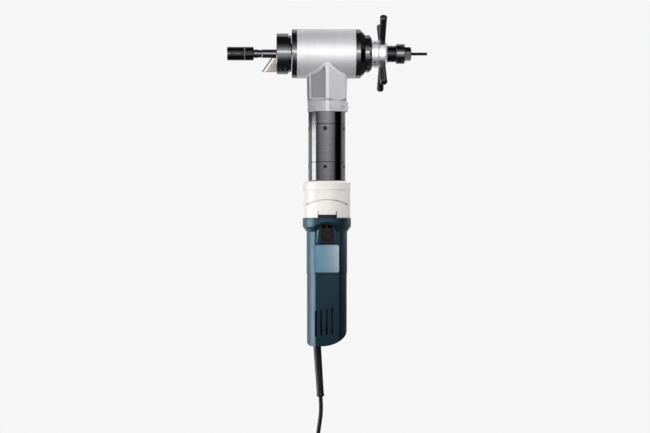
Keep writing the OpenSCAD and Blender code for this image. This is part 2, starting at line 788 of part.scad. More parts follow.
module feed_hub() {
    shank = hub_shank_r;
    color("#d4d5d8") difference() {
        lathe_x([
            [thread_d / 2 + run_gap, flange_x0], [bush_r - 0.2, flange_x0],
            [bush_r - 0.2, flange_x1], [shank, flange_x1], [shank, hub_head_x0],
            [hub_d / 2, hub_head_x0], [hub_d / 2, hub_x1 - 2.8],
            [hub_d / 2 - 4.4, hub_x1], [thread_d / 2 + run_gap, hub_x1]
        ]);
        around_x(4, arm_turn) translate([arm_x, 0, hub_d / 2 - 3.4])
            cylinder(d = arm_root_d - 2, h = far, $fn = 48);
    }
}

module hub_ring() {
    r = hub_ring_d / 2;
    color("#dcdde0") difference() {
        lathe_x([
            [hub_shank_r + seat_gap, hub_ring_x0], [r, hub_ring_x0], [r, hub_ring_x1 - 1.2],
            [r - 1.2, hub_ring_x1], [hub_shank_r + seat_gap, hub_ring_x1]
        ]);
        around_x(4, arm_turn) translate([(hub_ring_x0 + hub_ring_x1) / 2 - 0.6, 0, 0])
            cylinder(r = 1.6, h = far, $fn = 32);
    }
}
module hub_screws() {
    color("#121315") around_x(4, arm_turn)
        translate([(hub_ring_x0 + hub_ring_x1) / 2 - 0.6, 0, hub_shank_r + seat_gap])
            cylinder(r = 1.6 - seat_gap, h = hub_ring_d / 2 - hub_shank_r - 0.6, $fn = 32);
}

module handle_arms() {
    root_r = arm_root_d / 2;
    tip_r = arm_tip_d / 2;
    base = hub_d / 2;
    round_r = 2.4;
    color("#141517") around_x(4, arm_turn) translate([arm_x, 0, 0])
        rotate_extrude($fn = 48) polygon(concat(
            [[0, base - 3.2], [root_r - 1 - seat_gap, base - 3.2], [root_r - 1 - seat_gap, base + seat_gap],
             [root_r, base + seat_gap]],
            [for (a = [0 : 15 : 90])
                [tip_r - round_r + round_r * cos(a), arm_r - round_r + round_r * sin(a)]],
            [[0, arm_r]]
        ));
}

module screw_holes(z, d) {
    around_z(screw_count, screw_turn) translate([0, 0, z]) rotate([0, 90, 0])
        translate([0, 0, tube_d / 2 - screw_sink - screw_l - 0.4])
            cylinder(d = d + 2 * seat_gap, h = far, $fn = 32);
}
module tube_upper() {
    s = tube_d / 2 - 3.5;
    r = tube_d / 2;
    color("#15161a") difference() {
        lathe_z([
            [ring_gear_r + mesh_gap, tube_z0], [r - 0.5, tube_z0], [r, tube_z0 - 0.5],
            [r, tube_z1 + 0.5], [r - 0.5, tube_z1], [s, tube_z1],
            [s, tube_z1 - spigot_l + face_gap], [ring_gear_r + mesh_gap, tube_z1 - spigot_l + face_gap]
        ]);
        screw_holes(tube_z1 - screw_drop, upper_screw_d);
    }
}
module tube_middle() {
    r = tube_d / 2;
    s = r - 3.5;
    color("#15161a") difference() {
        lathe_z([
            [ring_gear_r + mesh_gap, tube_z1 - spigot_l], [s + seat_gap, tube_z1 - spigot_l],
            [s + seat_gap, tube_z1], [r - 0.5, tube_z1], [r, tube_z1 - 0.5],
            [r, tube_z2 + 0.5], [r - 0.5, tube_z2], [s, tube_z2],
            [s, tube_z2 - spigot_l + face_gap], [ring_gear_r + mesh_gap, tube_z2 - spigot_l + face_gap]
        ]);
        screw_holes(tube_z1 - screw_drop, upper_screw_d);
        screw_holes(tube_z2 - screw_drop, lower_screw_d);
    }
}
module tube_lower() {
    r = tube_d / 2;
    s = r - 3.5;
    color("#15161a") difference() {
        lathe_z([
            [motor_bearing_r, tube_z2 - spigot_l], [s + seat_gap, tube_z2 - spigot_l],
            [s + seat_gap, tube_z2], [r - 0.5, tube_z2], [r, tube_z2 - 0.5],
            [r, adapter_z0 + 1.2], [r - 1.2, adapter_z0], [motor_bearing_r, adapter_z0]
        ]);
        screw_holes(tube_z2 - screw_drop, lower_screw_d);
    }
}
module tube_screw(z, d) {
    around_z(screw_count, screw_turn) translate([0, 0, z]) rotate([0, 90, 0])
        translate([0, 0, tube_d / 2 - screw_sink - screw_l]) difference() {
            cylinder(d = d, h = screw_l, $fn = 32);
            translate([0, 0, 2.6]) cylinder(d = d * 0.56, h = 3, $fn = 6);
        }
}
module tube_screws() {
    color("#0f1012") {
        tube_screw(tube_z1 - screw_drop, upper_screw_d);
        tube_screw(tube_z2 - screw_drop, lower_screw_d);
    }
}

// the adapter's curved seam, seen from the switch side: an arc between its two holes
module seam_strip() {
    half = adapter_d / 2 * cos(seam_turn);
    arc_r = (half * half + seam_rise * seam_rise) / 2 / seam_rise;
    translate([axis_x, far, seam_hole_z + seam_rise - arc_r]) rotate([90, 0, 0])
        linear_extrude(height = 2 * far) difference() {
            intersection() {
                difference() {
                    circle(r = arc_r + seam_w / 2, $fn = 180);
                    circle(r = arc_r - seam_w / 2, $fn = 180);
                }
                translate([-half, arc_r - 2 * seam_rise]) square([2 * half, 3 * seam_rise]);
            }
        }
}
module adapter() {
    r = adapter_d / 2;
    w = tongue_w / 2;
    rim_z = adapter_z0 - adapter_rim_h;
    color("#f1f0ec") difference() {
        union() {
            lathe_z([
                [motor_bearing_r, adapter_z0], [r - 2.5, adapter_z0], [r, adapter_z0 - 2.5],
                [r, rim_z], [r - 0.7, rim_z - 0.7], [r - 0.7, motor_z0], [r - 6, motor_z0],
                [r - 6, motor_z0 + 10],
                [motor_bearing_r + 5, motor_z0 + 14], [motor_bearing_r + 5, motor_z0 + 4],
                [motor_bearing_r + seat_gap, motor_z0 + 4],
                [motor_bearing_r + seat_gap, motor_z0 + 4 + motor_bearing_w],
                [motor_bearing_r - 3, motor_z0 + 4 + motor_bearing_w],
                [motor_bearing_r - 3, throat_z], [motor_bearing_r, throat_z + 2]
            ]);
            // upright ribs at the four corners, above the screw holes
            intersection() {
                bar_z(r, seam_hole_z, rim_z);
                around_z(2) for (s = [-1, 1]) rotate([0, 0, s * seam_turn])
                    translate([r - 3, -3.4, seam_hole_z]) cube([far, 6.8, rim_z - seam_hole_z]);
            }
        }
        intersection() {
            sleeve_z(r - seam_t, r + 1, motor_z0 + 1, rim_z);
            seam_strip();
        }
        around_z(2) for (s = [-1, 1]) rotate([0, 0, s * seam_turn])
            translate([r - 4, 0, seam_hole_z]) rotate([0, 90, 0]) cylinder(r = 1.3, h = 6, $fn = 32);
        block(axis_x - w - face_gap, axis_x + w + face_gap, -far, 0,
            motor_z0 - 1, motor_z0 + tongue_h + face_gap);
        for (s = [-1, 1])
            block(axis_x + s * w - 0.6, axis_x + s * w + 0.6, -far, 0, motor_z0 - 1, motor_z0 + tongue_h + 5);
    }
}

// the grip: a round bar with a flat towards the switch side
module grip(d, flat, z0, z1) {
    difference() {
        bar_z(d / 2, z1, z0);
        block(axis_x - far, axis_x + far, -far, -flat, z1 - 1, z0 + 1);
    }
}
// the raised pad round the switch, wider at its lower end
module switch_pad() {
    w = switch_w / 2 + 1.4;
    out = grip_flat + switch_out - 0.8;
    z0 = switch_z + switch_h / 2 + 3;
    z1 = switch_z - switch_h / 2 - 1.6;
    translate([axis_x, 0, 0]) hull() {
        block(-w, w, -out, -grip_flat + 2, z0 - 1, z0);
        block(-w - 3.4, w + 3.4, -out + 1.2, -grip_flat + 2, z1 + 2, z1 + 3);
        block(-w - 5, w + 5, -grip_flat - 0.2, -grip_flat + 2, z1, z1 + 1);
        block(-w - 3, w + 3, -grip_flat - 0.2, -grip_flat + 2, z0, z0 + 1);
    }
}
// what the scoop above the grip's flat takes away from the flange
module scoop() {
    slope = atan((flare_d / 2 - grip_flat) / scoop_h);
    translate([axis_x, -grip_flat, grip_z0 + 1]) rotate([slope, 0, 0])
        translate([-far, -far, -far]) cube([2 * far, far, 2 * far]);
}
module motor_housing() {
    r = flare_d / 2;
    w = tongue_w / 2;
    seat_r = motor_bearing_r + seat_gap;
    color("#2f6d86") difference() {
        union() {
            difference() {
                lathe_z([
                    [0, motor_z0], [r - 0.8, motor_z0], [r, motor_z0 - 0.8], [r, motor_z0 - flare_h],
                    [grip_d / 2, grip_z0], [0, grip_z0]
                ]);
                scoop();
            }
            grip(grip_d, grip_flat, grip_z0 + 1, seam_z);
            switch_pad();
            intersection() {
                bar_z(adapter_d / 2, motor_z0 - 1, motor_z0 + tongue_h);
                block(axis_x - w, axis_x + w, -far, -adapter_d / 2 + 5, motor_z0 - 1, motor_z0 + tongue_h);
            }
            // inner frame for the brushes and the rear bearing
            lathe_z([
                [seat_r, seam_z + 1], [coil_r + 3, seam_z + 1], [coil_r + 3, seam_z - 4],
                [frame_r, seam_z - 8], [frame_r, shaft_z1], [seat_r, shaft_z1]
            ]);
        }
        bar_z(r - wall - 1, motor_z0 - flare_h + 1, motor_z0 + 1);
        intersection() {
            bar_z(grip_d / 2 - wall, stator_z0 - stator_h - face_gap, motor_z0);
            block(axis_x - far, axis_x + far, -grip_flat + wall, far, seam_z - 1, motor_z0);
        }
        lathe_z([
            [0, seam_z + 20], [coil_r + 0.6, seam_z + 20], [coil_r + 0.6, seam_z - 4],
            [frame_r - 2.4, seam_z - 8], [frame_r - 2.4, rear_bearing_z0 + 3],
            [seat_r, rear_bearing_z0], [seat_r, shaft_z1 - 1], [0, shaft_z1 - 1]
        ]);
        block(axis_x - far, axis_x + far, -far, -stator_flat + 0.2, shaft_z1 - 1, seam_z);
        // windows for the brush holders
        block(axis_x - frame_r - 1, axis_x + frame_r + 1,
            -holder_w / 2 - seat_gap, holder_w / 2 + seat_gap,
            brush_z - holder_h / 2 - seat_gap, brush_z + holder_h / 2 + seat_gap);
        // opening for the switch frame, and the groove for the switch's rod
        block(axis_x - switch_w / 2 - seat_gap, axis_x + switch_w / 2 + seat_gap, -far, -stator_flat,
            switch_z - switch_h / 2 - seat_gap, switch_z + switch_h / 2 + seat_gap);
        link_groove(seam_z - 1, switch_z);
    }
}

// lower end of the rear cover: a corner beside the cord, then a curve that rises away from it
module rear_cover_outline(r, bottom, rise) {
    c = cover_corner_r;
    flat_x = -r * 0.27;
    run = r * 0.82 - flat_x;
    drop = rise * 0.52;
    arc_r = (run * run + drop * drop) / 2 / drop;
    turn = asin(run / arc_r);
    end_r = (r - flat_x - run) / (1 - sin(turn));
    polygon(concat(
        [for (a = [180 : 15 : 270]) [-r + c + c * cos(a), bottom + c + c * sin(a)]],
        [for (i = [0 : 6]) [flat_x + arc_r * sin(turn * i / 6), bottom + arc_r * (1 - cos(turn * i / 6))]],
        [for (i = [1 : 4]) let (a = turn + (90 - turn) * i / 4)
            [r - end_r + end_r * sin(a), bottom + drop + end_r * (cos(turn) - cos(a))]],
        [[r, seam_z], [-r, seam_z]]
    ));
}
module rear_cover() {
    r = cover_d / 2;
    f = grip_flat - 0.2;
    color("#2f6d86") difference() {
        union() {
            cover_shell(r, f);
            cover_baffle(r, f);
        }
        link_groove(switch_block_z - 4, seam_z + 1);
        translate([relief_x, 0, cover_z1]) rotate([0, -relief_lean, 0])
            translate([0, 0, -far / 2]) cylinder(d = relief_d - 2 + 2 * seat_gap, h = far, $fn = 48);
    }
}
// the wall inside the cover, behind its air slots
module cover_baffle(r, f) {
    intersection() {
        block(axis_x - far, axis_x + far, baffle_y, baffle_y + baffle_t, cover_z1 + 12, shaft_z1 - 1.5);
        grip(cover_d - wall, f, seam_z, cover_z1);
        translate([axis_x, far / 2, 0]) rotate([90, 0, 0]) linear_extrude(height = far)
            rear_cover_outline(r - wall / 2, cover_z1, cover_rise);
    }
}
module cover_shell(r, f) {
    difference() {
        intersection() {
            grip(cover_d, f, seam_z, cover_z1);
            translate([axis_x, far / 2, 0]) rotate([90, 0, 0]) linear_extrude(height = far)
                rear_cover_outline(r, cover_z1, cover_rise);
        }
        intersection() {
            grip(cover_d - 2 * wall, f - wall, seam_z + 1, cover_z1);
            translate([axis_x, far / 2, 0]) rotate([90, 0, 0]) linear_extrude(height = far)
                translate([0, 1]) rear_cover_outline(r - wall, cover_z1 + wall, cover_rise);
        }
        for (i = [0 : vent_count - 1])
            translate([axis_x + (i - (vent_count - 1) / 2) * vent_pitch - 4.6, 0, cover_z1 + 14.5 + i * 1.5])
                translate([-vent_w / 2, -far, 0]) cube([vent_w, 2 * far, vent_h]);
    }
}

module label_plate() {
    c = 2.4;
    color("#9db4c2") translate([axis_x, -grip_flat, label_z]) rotate([90, 0, 0])
        linear_extrude(height = 0.8) polygon([
            for (q = [0 : 3], a = [0 : 15 : 90])
                let (sx = q == 0 || q == 3 ? 1 : -1, sz = q < 2 ? 1 : -1)
                [sx * (label_w / 2 - c) + c * cos(q * 90 + a), sz * (label_h / 2 - c) + c * sin(q * 90 + a)]
        ]);
}

// the rod of the switch runs in a groove inside the front wall
module link_groove(z0, z1) {
    block(axis_x - link_w / 2 - 0.3, axis_x + link_w / 2 + 0.3,
        -stator_flat - link_t - 0.4, -stator_flat + 2, z0, z1);
}
module switch_frame() {
    y0 = -grip_flat - switch_out;
    color("#1a1b1d") difference() {
        block(axis_x - switch_w / 2, axis_x + switch_w / 2, y0, -stator_flat - link_t - 0.4,
            switch_z - switch_h / 2, switch_z + switch_h / 2);
        block(axis_x - button_w / 2 - 0.3, axis_x + button_w / 2 + 0.3, y0 - 1, 0,
            button_z0 - 0.3, button_z0 + button_h + button_travel + 0.3);
    }
}
module switch_slider() {
    y0 = -grip_flat - switch_out;
    y1 = -stator_flat - 0.2;
    tab_z = switch_block_z + 0.4;
    color("#2a2423") union() {
        block(axis_x - button_w / 2, axis_x + button_w / 2, y0 + 1, y1 - link_t,
            button_z0, button_z0 + button_h);
        // the knob has ridges across it
        difference() {
            block(axis_x - button_w / 2 + 0.8, axis_x + button_w / 2 - 0.8, y0 - 2.2, y0 + 1.5,
                button_z0 + 4, button_z0 + button_h - 0.8);
            for (i = [0 : 3])
                block(axis_x - far, axis_x + far, y0 - 3, y0 - 1.4,
                    button_z0 + 6 + i * 3.4, button_z0 + 7.6 + i * 3.4);
        }
        block(axis_x - link_w / 2, axis_x + link_w / 2, y1 - link_t, y1, tab_z, button_z0 + 8);
        block(axis_x - link_w / 2, axis_x + link_w / 2, y1 - link_t, -17, tab_z, tab_z + 2);
    }
}
module switch_block() {
    color("#3a3a3c")
        block(axis_x - switch_block_w / 2, axis_x + switch_block_w / 2, -stator_flat + 0.4, -4,
            switch_block_z - switch_block_h, switch_block_z);
}

module stator_core() {
    color("#6c6e72") intersection() {
        sleeve_z(rotor_r + air_gap, grip_d / 2 - wall - seat_gap, stator_z0 - stator_h, stator_z0);
        block(axis_x - far, axis_x + far, -stator_flat, far, seam_z - 9, motor_z0);
    }
}
module field_coils() {
    color("#a8622c") for (z = [stator_z0 + 0.1, stator_z0 - stator_h - 8.1])
        sleeve_z(rotor_r + air_gap + 0.4, coil_r, z, z + 8);
}
module armature_shaft() {
    color("#a6a8ab") union() {
        bar_z(sun_r - mesh_gap, stage_end, stage_z1);
        bar_z(shaft_r, shaft_z1, stage_end + 1);
    }
}
module armature_core() {
    color("#7b6a52") sleeve_z(shaft_r + seat_gap, rotor_r, stator_z0 - stator_h + 1, stator_z0 - 1);
}
module commutator() {
    color("#b87440")
        sleeve_z(shaft_r + seat_gap, commutator_r, commutator_z0 - commutator_h, commutator_z0);
}
module cooling_fan() {
    color("#3b3c3e") difference() {
        sleeve_z(shaft_r + seat_gap, fan_r, fan_z0 - fan_h, fan_z0);
        around_z(12) translate([shaft_r + 6, 0.8, fan_z0 - fan_h - 1])
            rotate([0, 0, 18]) cube([far, 3.4, fan_h - 1]);
    }
}
module motor_bearings() {
    color("#b9bbbe") {
        sleeve_z(shaft_r + run_gap, motor_bearing_r, motor_z0 + 4, motor_z0 + 4 + motor_bearing_w);
        sleeve_z(shaft_r + run_gap, motor_bearing_r,
            rear_bearing_z0 - motor_bearing_w, rear_bearing_z0);
    }
}
module brush_holders() {
    color("#b79a4a") around_z(2) translate([commutator_r + 1.6, 0, brush_z]) difference() {
        translate([0, -holder_w / 2, -holder_h / 2])
            cube([frame_r - commutator_r - 1.6, holder_w, holder_h]);
        translate([-1, -brush_w / 2, -brush_h / 2]) cube([far, brush_w, brush_h]);
    }
}
module carbon_brushes() {
    w = brush_w - 2 * seat_gap;
    h = brush_h - 2 * seat_gap;
    color("#26262a") around_z(2) translate([commutator_r + run_gap, -w / 2, brush_z - h / 2])
        cube([frame_r - commutator_r - 1, w, h]);
}

module strain_relief() {
    r = relief_d / 2;
    color("#1d1e20") translate([relief_x, 0, cover_z1]) rotate([0, -relief_lean, 0])
        rotate_extrude($fn = 48) polygon([
            [0, relief_root], [r - 1, relief_root], [r - 1, -0.5], [r, -0.7], [r, -8],
            [r - 0.5, -relief_l + 5], [r, -relief_l + 4], [r, -relief_l + 1],
            [r - 1, -relief_l], [0, -relief_l]
        ]);
}

// a tube swept along points that lie near the XZ plane
function unit(v) = v / norm(v);
function tangent(p, i) = unit(p[min(i + 1, len(p) - 1)] - p[max(i - 1, 0)]);
function ring(p, i, r, sides) =
    let (t = tangent(p, i), n = unit(cross([0, 1, 0], t)), b = cross(t, n))
    [for (k = [0 : sides - 1])
        p[i] + r * (cos(k * 360 / sides) * n + sin(k * 360 / sides) * b)];
module swept_tube(p, d, sides) {
    n = len(p);
    polyhedron(
        points = [for (i = [0 : n - 1]) each ring(p, i, d / 2, sides)],
        faces = concat(
            [[for (k = [0 : sides - 1]) k]],
            [for (i = [0 : n - 2], k = [0 : sides - 1], half = [0, 1])
                let (a = i * sides + k, b = i * sides + (k + 1) % sides)
                half == 0 ? [a, a + sides, b] : [b, a + sides, b + sides]],
            [[for (k = [sides - 1 : -1 : 0]) (n - 1) * sides + k]]
        )
    );
}

// hank: the cord comes down the outer run, winds inwards, climbs a layer and winds out again
hank_x = cord_points[len(cord_points) - 1][0] - hank_radius(0);
hank_z0 = cord_points[len(cord_points) - 1][2] - hank_lead;
function hank_radius(t) = hank_fold_r + hank_step * abs(t - hank_turns / 2 - 0.1);
function hank_side(t) =
    let (s = (t - hank_turns / 2) / 0.25)
    s <= 0 ? -1 : s >= 1 ? 1 : -cos(180 * s);
function hank_point(t) =
    let (q = (t - floor(t)) * 4, leg = floor(q), f = q - leg, r = hank_radius(t),
        y = hank_side(t) * hank_layer / 2,
        draw = hank_waist * (1 - cos(360 * f)) / 2)
    leg == 0 ? [hank_x + r - draw, y, hank_z0 - hank_run * f]
    : leg == 1 ? [hank_x + r * cos(180 * f), y, hank_z0 - hank_run - r * sin(180 * f)]
    : leg == 2 ? [hank_x - r + draw, y, hank_z0 - hank_run * (1 - f)]
    : [hank_x - r * cos(180 * f), y, hank_z0 + r * sin(180 * f)];
hank_end = hank_turns + 0.25;
hank_loops = [for (i = [0 : hank_turns * hank_rings + hank_rings / 4]) hank_point(i / hank_rings)];
hank_points = concat(
    [hank_loops[0] + [0, 0, hank_lead]],
    hank_loops,
    [for (i = [1 : 4]) hank_loops[len(hank_loops) - 1] - [0, 0, hank_tail * i / 4]]
);
plug_x = hank_points[len(hank_points) - 1][0];
plug_z = hank_points[len(hank_points) - 1][2];
function path_length(p, i = 0) = i >= len(p) - 1 ? 0 : norm(p[i + 1] - p[i]) + path_length(p, i + 1);
hank_gap = min([
    for (i = [0 : len(hank_points) - 1], k = [i + 6 : 1 : len(hank_points) - 1])
        norm(hank_points[i] - hank_points[k])
]) - cord_d;
echo(hank_gap = hank_gap, cord = path_length(cord_points), hank = path_length(hank_points));

module cord() { color("#1a1a1b") swept_tube(cord_points, cord_d, cord_sides); }
module cord_hank() { color("#1a1a1b") swept_tube(hank_points, cord_d, hank_sides); }
module hank_tie() {
    w = hank_radius(0) - hank_waist + cord_d / 2 + 0.6;
    d = hank_layer / 2 + cord_d / 2 + 0.5;
    color("#2b2b2d") translate([hank_x, 0, hank_z0 - hank_run / 2 - 4]) linear_extrude(height = 8)
        difference() {
            square([2 * w + 2.4, 2 * d + 2.4], center = true);
            square([2 * w, 2 * d], center = true);
        }
}
module plug_body() {
    r = plug_d / 2;
    neck_r = cord_d / 2 + 1.6;
    color("#1b1b1c") translate([plug_x, hank_layer / 2, plug_z]) rotate_extrude($fn = 64) polygon([
        [0, 0], [neck_r - 0.6, 0], [neck_r, -0.6], [neck_r + 1.6, -plug_l * 0.42],
        [r * 0.72, -plug_l * 0.6], [r, -plug_l * 0.74], [r, -plug_l + 1.5], [r - 1.5, -plug_l],
        [0, -plug_l]
    ]);
}
module plug_pins() {
    color("#c2c3c6") for (s = [-1, 1])
        translate([plug_x + s * 9.5, hank_layer / 2, plug_z - plug_l - pin_l]) {
            translate([0, 0, 1]) cylinder(d = pin_d, h = pin_l - 1, $fn = 32);
            cylinder(d1 = pin_d - 1.6, d2 = pin_d, h = 1, $fn = 32);
        }
}

mandrel_shaft();
thread_sleeve();
mandrel_collar();
jaw_ring();
draw_rod();
clamp_nut();
jaw_1();
jaw_2();
jaw_3();
gear_housing();
front_ring();
front_seal();
front_bearing();
rear_bearing();
guide_bush();
thrust_bearing();
rear_cap();
pinion_bearings();
tube_upper();
tube_middle();
tube_lower();
tube_screws();
adapter();
motor_bearings();
motor_housing();
rear_cover();
label_plate();
switch_frame();
switch_block();
stator_core();
field_coils();
brush_holders();
carbon_brushes();
strain_relief();
cord();
cord_hank();
hank_tie();
plug_body();
plug_pins();
spindle();
bevel_gear();
cutter_head();
blade();
blade_screws();
bevel_pinion();
carrier_3();
planets_3();
carrier_2();
planets_2();
carrier_1();
planets_1();
armature_shaft();
armature_core();
commutator();
cooling_fan();
feed_hub();
hub_ring();
hub_screws();
handle_arms();
switch_slider();
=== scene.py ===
import json
import math

import bmesh
import bpy
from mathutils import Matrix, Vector


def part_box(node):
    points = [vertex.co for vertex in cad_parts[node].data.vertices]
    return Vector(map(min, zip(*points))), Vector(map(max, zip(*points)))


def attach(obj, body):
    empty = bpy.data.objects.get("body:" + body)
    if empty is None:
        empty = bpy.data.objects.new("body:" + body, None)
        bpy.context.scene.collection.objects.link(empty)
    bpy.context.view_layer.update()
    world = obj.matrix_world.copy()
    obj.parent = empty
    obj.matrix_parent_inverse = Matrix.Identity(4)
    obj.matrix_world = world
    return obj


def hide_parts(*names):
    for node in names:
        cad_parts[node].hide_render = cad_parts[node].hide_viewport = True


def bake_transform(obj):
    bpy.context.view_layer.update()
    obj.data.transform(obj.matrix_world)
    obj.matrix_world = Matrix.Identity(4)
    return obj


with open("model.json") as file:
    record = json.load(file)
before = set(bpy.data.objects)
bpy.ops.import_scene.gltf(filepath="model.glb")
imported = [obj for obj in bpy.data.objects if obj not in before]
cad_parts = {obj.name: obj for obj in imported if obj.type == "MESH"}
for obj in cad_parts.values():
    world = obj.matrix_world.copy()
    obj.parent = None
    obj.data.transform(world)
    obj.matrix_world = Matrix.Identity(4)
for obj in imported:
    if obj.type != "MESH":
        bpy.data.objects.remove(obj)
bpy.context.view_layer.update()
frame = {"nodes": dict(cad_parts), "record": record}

mm = 0.001
motorX = 129.45 * mm  # the motor's upright axis
closest = 0.0005 * mm  # points nearer than this are one
nodes = frame["nodes"]
print("frame loaded,", len(nodes), "nodes")


def addObject(name, data):
    thing = bpy.data.objects.new(name, data)
    bpy.context.scene.collection.objects.link(thing)
    return thing


# camera, straight at the switch side and a little from the jaws' side
camera = {
    "target": (0.1267, 0.0, -0.244),
    "distance": 2.4,
    "turn": math.radians(1.2),
    "viewWidth": 0.975,  # what the picture shows across, at the target
}


def setCamera(cam):
    data = bpy.data.cameras.new("camera")
    data.sensor_width = 36
    data.lens = data.sensor_width * cam["distance"] / cam["viewWidth"]
    thing = addObject("camera", data)
    back = Vector((-math.sin(cam["turn"]), -math.cos(cam["turn"]), 0)) * cam["distance"]
    thing.location = Vector(cam["target"]) + back
    thing.rotation_euler = (math.radians(90), 0, -cam["turn"])
    bpy.context.scene.camera = thing


setCamera(camera)


# colours are written as they look, and turned linear here
def paint(code):
    parts = [int(code[i:i + 2], 16) / 255 for i in (1, 3, 5)]
    return tuple(c / 12.92 if c <= 0.04045 else ((c + 0.055) / 1.055) ** 2.4 for c in parts) + (1.0,)


# a node with its settings and inputs, where an input is a value or another node's socket
def addNode(tree, kind, inputs=None, **settings):
    made = tree.nodes.new(kind)
    for key, value in settings.items():
        setattr(made, key, value)
    for key, value in (inputs or {}).items():
        if isinstance(value, bpy.types.NodeSocket):
            tree.links.new(value, made.inputs[key])
        else:
            made.inputs[key].default_value = value
    return made


def newMaterial(name):
    material = bpy.data.materials.new(name)
    material.use_nodes = True
    return material, material.node_tree


def newGroup(name, kind, inputs, outputs):
    group = bpy.data.node_groups.new(name, kind)
    for label, (socketType, value) in inputs.items():
        socket = group.interface.new_socket(name=label, in_out="INPUT",
                                            socket_type="NodeSocket" + socketType)
        if value is not None:
            socket.default_value = value
    for label, socketType in outputs.items():
        group.interface.new_socket(name=label, in_out="OUTPUT", socket_type="NodeSocket" + socketType)
    return group, group.nodes.new("NodeGroupInput").outputs, group.nodes.new("NodeGroupOutput").inputs


def putOut(group, result, sources):
    for label, source in sources.items():
        group.links.new(source, result[label])


def calc(tree, operation, *values):
    return addNode(tree, "ShaderNodeMath", dict(enumerate(values)), operation=operation).outputs[0]


def times(tree, first, second):
    return calc(tree, "MULTIPLY", first, second)


def plus(tree, first, second):
    return calc(tree, "ADD", first, second)


def minus(tree, first, second):
    return calc(tree, "SUBTRACT", first, second)


def vectorCalc(tree, operation, *values):
    return addNode(tree, "ShaderNodeVectorMath", dict(enumerate(values)), operation=operation).outputs


def dot(tree, first, second):
    return vectorCalc(tree, "DOT_PRODUCT", first, second)["Value"]


# 0 at the low value and 1 at the high one
def shareOf(tree, value, low, high):
    inputs = {"Value": value, "From Min": low, "From Max": high}
    return addNode(tree, "ShaderNodeMapRange", inputs).outputs[0]


def noise(tree, vector, scale, detail, more=None, **settings):
    inputs = {"Vector": vector, "Scale": scale, "Detail": detail, **(more or {})}
    return addNode(tree, "ShaderNodeTexNoise", inputs, **settings).outputs["Fac"]


# fine rings that a lathe leaves round an axis, on the rim and on the end faces
def toolMarksGroup():
    group, given, result = newGroup("toolMarks", "ShaderNodeTree", {
        "Vector": ("Vector", None), "Axis": ("Vector", (1, 0, 0)), "Centre": ("Vector", (0, 0, 0)),
        "Lines": ("Float", 4000.0),
    }, {"Height": "Float", "Streak": "Float", "Radius": "Float"})
    off = vectorCalc(group, "SUBTRACT", given["Vector"], given["Centre"])[0]
    along = dot(group, off, given["Axis"])
    part = addNode(group, "ShaderNodeVectorMath", {0: given["Axis"], "Scale": along}, operation="SCALE")
    flat = vectorCalc(group, "SUBTRACT", off, part.outputs[0])[0]
    radius = vectorCalc(group, "LENGTH", flat)["Value"]
    place = addNode(group, "ShaderNodeCombineXYZ", {"X": along, "Y": radius}).outputs[0]
    fine = noise(group, place, given["Lines"], 2.0, noise_dimensions="2D")
    streak = noise(group, place, times(group, given["Lines"], 0.08), 3.0, noise_dimensions="2D")
    putOut(group, result, {"Height": fine, "Streak": streak, "Radius": radius})
    return group


# pebbled skin of a casting or a moulding, and slow patches over it
def skinGroup():
    group, given, result = newGroup("skin", "ShaderNodeTree", {
        "Vector": ("Vector", None), "Size": ("Float", 900.0),
    }, {"Height": "Float", "Patch": "Float"})
    fine = noise(group, given["Vector"], given["Size"], 3.0, {"Roughness": 0.6})
    inputs = {"Vector": given["Vector"], "Scale": given["Size"]}
    dots = addNode(group, "ShaderNodeTexVoronoi", inputs, feature="SMOOTH_F1")
    patch = noise(group, given["Vector"], times(group, given["Size"], 0.03), 4.0, {"Roughness": 0.55})
    putOut(group, result, {"Height": times(group, fine, dots.outputs["Distance"]), "Patch": patch})
    return group


# smudges from hands and cloths, and hair scratches that run over them
def handlingGroup():
    group, given, result = newGroup("handling", "ShaderNodeTree", {
        "Vector": ("Vector", None), "Size": ("Float", 40.0),
    }, {"Smudge": "Float", "Scratch": "Float"})
    smudge = noise(group, given["Vector"], given["Size"], 5.0, {"Roughness": 0.65, "Distortion": 0.6})
    turned = addNode(group, "ShaderNodeMapping", {
        "Vector": given["Vector"], "Rotation": (0.5, 0.9, 0.3), "Scale": (1.0, 18.0, 18.0)})
    hair = noise(group, turned.outputs[0], 130.0, 1.0)
    smudge = shareOf(group, smudge, 0.42, 0.7)
    putOut(group, result, {"Smudge": smudge, "Scratch": shareOf(group, hair, 0.72, 0.78)})
    return group


# rounds sharp edges in the shading and says where they are, for bare metal that shows through
def edgeGroup():
    group, given, result = newGroup("edge", "ShaderNodeTree", {
        "Vector": ("Vector", None), "Radius": ("Float", 0.0004),
    }, {"Mask": "Float", "Normal": "Vector"})
    bevel = addNode(group, "ShaderNodeBevel", {"Radius": given["Radius"]}, samples=4).outputs[0]
    true = addNode(group, "ShaderNodeNewGeometry").outputs["Normal"]
    bend = shareOf(group, dot(group, bevel, true), 0.985, 0.86)
    torn = shareOf(group, noise(group, given["Vector"], 260.0, 4.0), 0.4, 0.62)
    putOut(group, result, {"Mask": times(group, bend, torn), "Normal": bevel})
    return group


effects = {
    "toolMarks": toolMarksGroup(),
    "skin": skinGroup(),
    "handling": handlingGroup(),
    "edge": edgeGroup(),
}


def placeEffect(tree, name, inputs):
    return addNode(tree, "ShaderNodeGroup", inputs, node_tree=effects[name]).outputs


def mixColour(tree, share, first, second):
    return addNode(tree, "ShaderNodeMix", {0: share, 6: first, 7: second}, data_type="RGBA").outputs[2]


def mixValue(tree, share, first, second):
    return addNode(tree, "ShaderNodeMix", {0: share, 2: first, 3: second}, data_type="FLOAT").outputs[0]


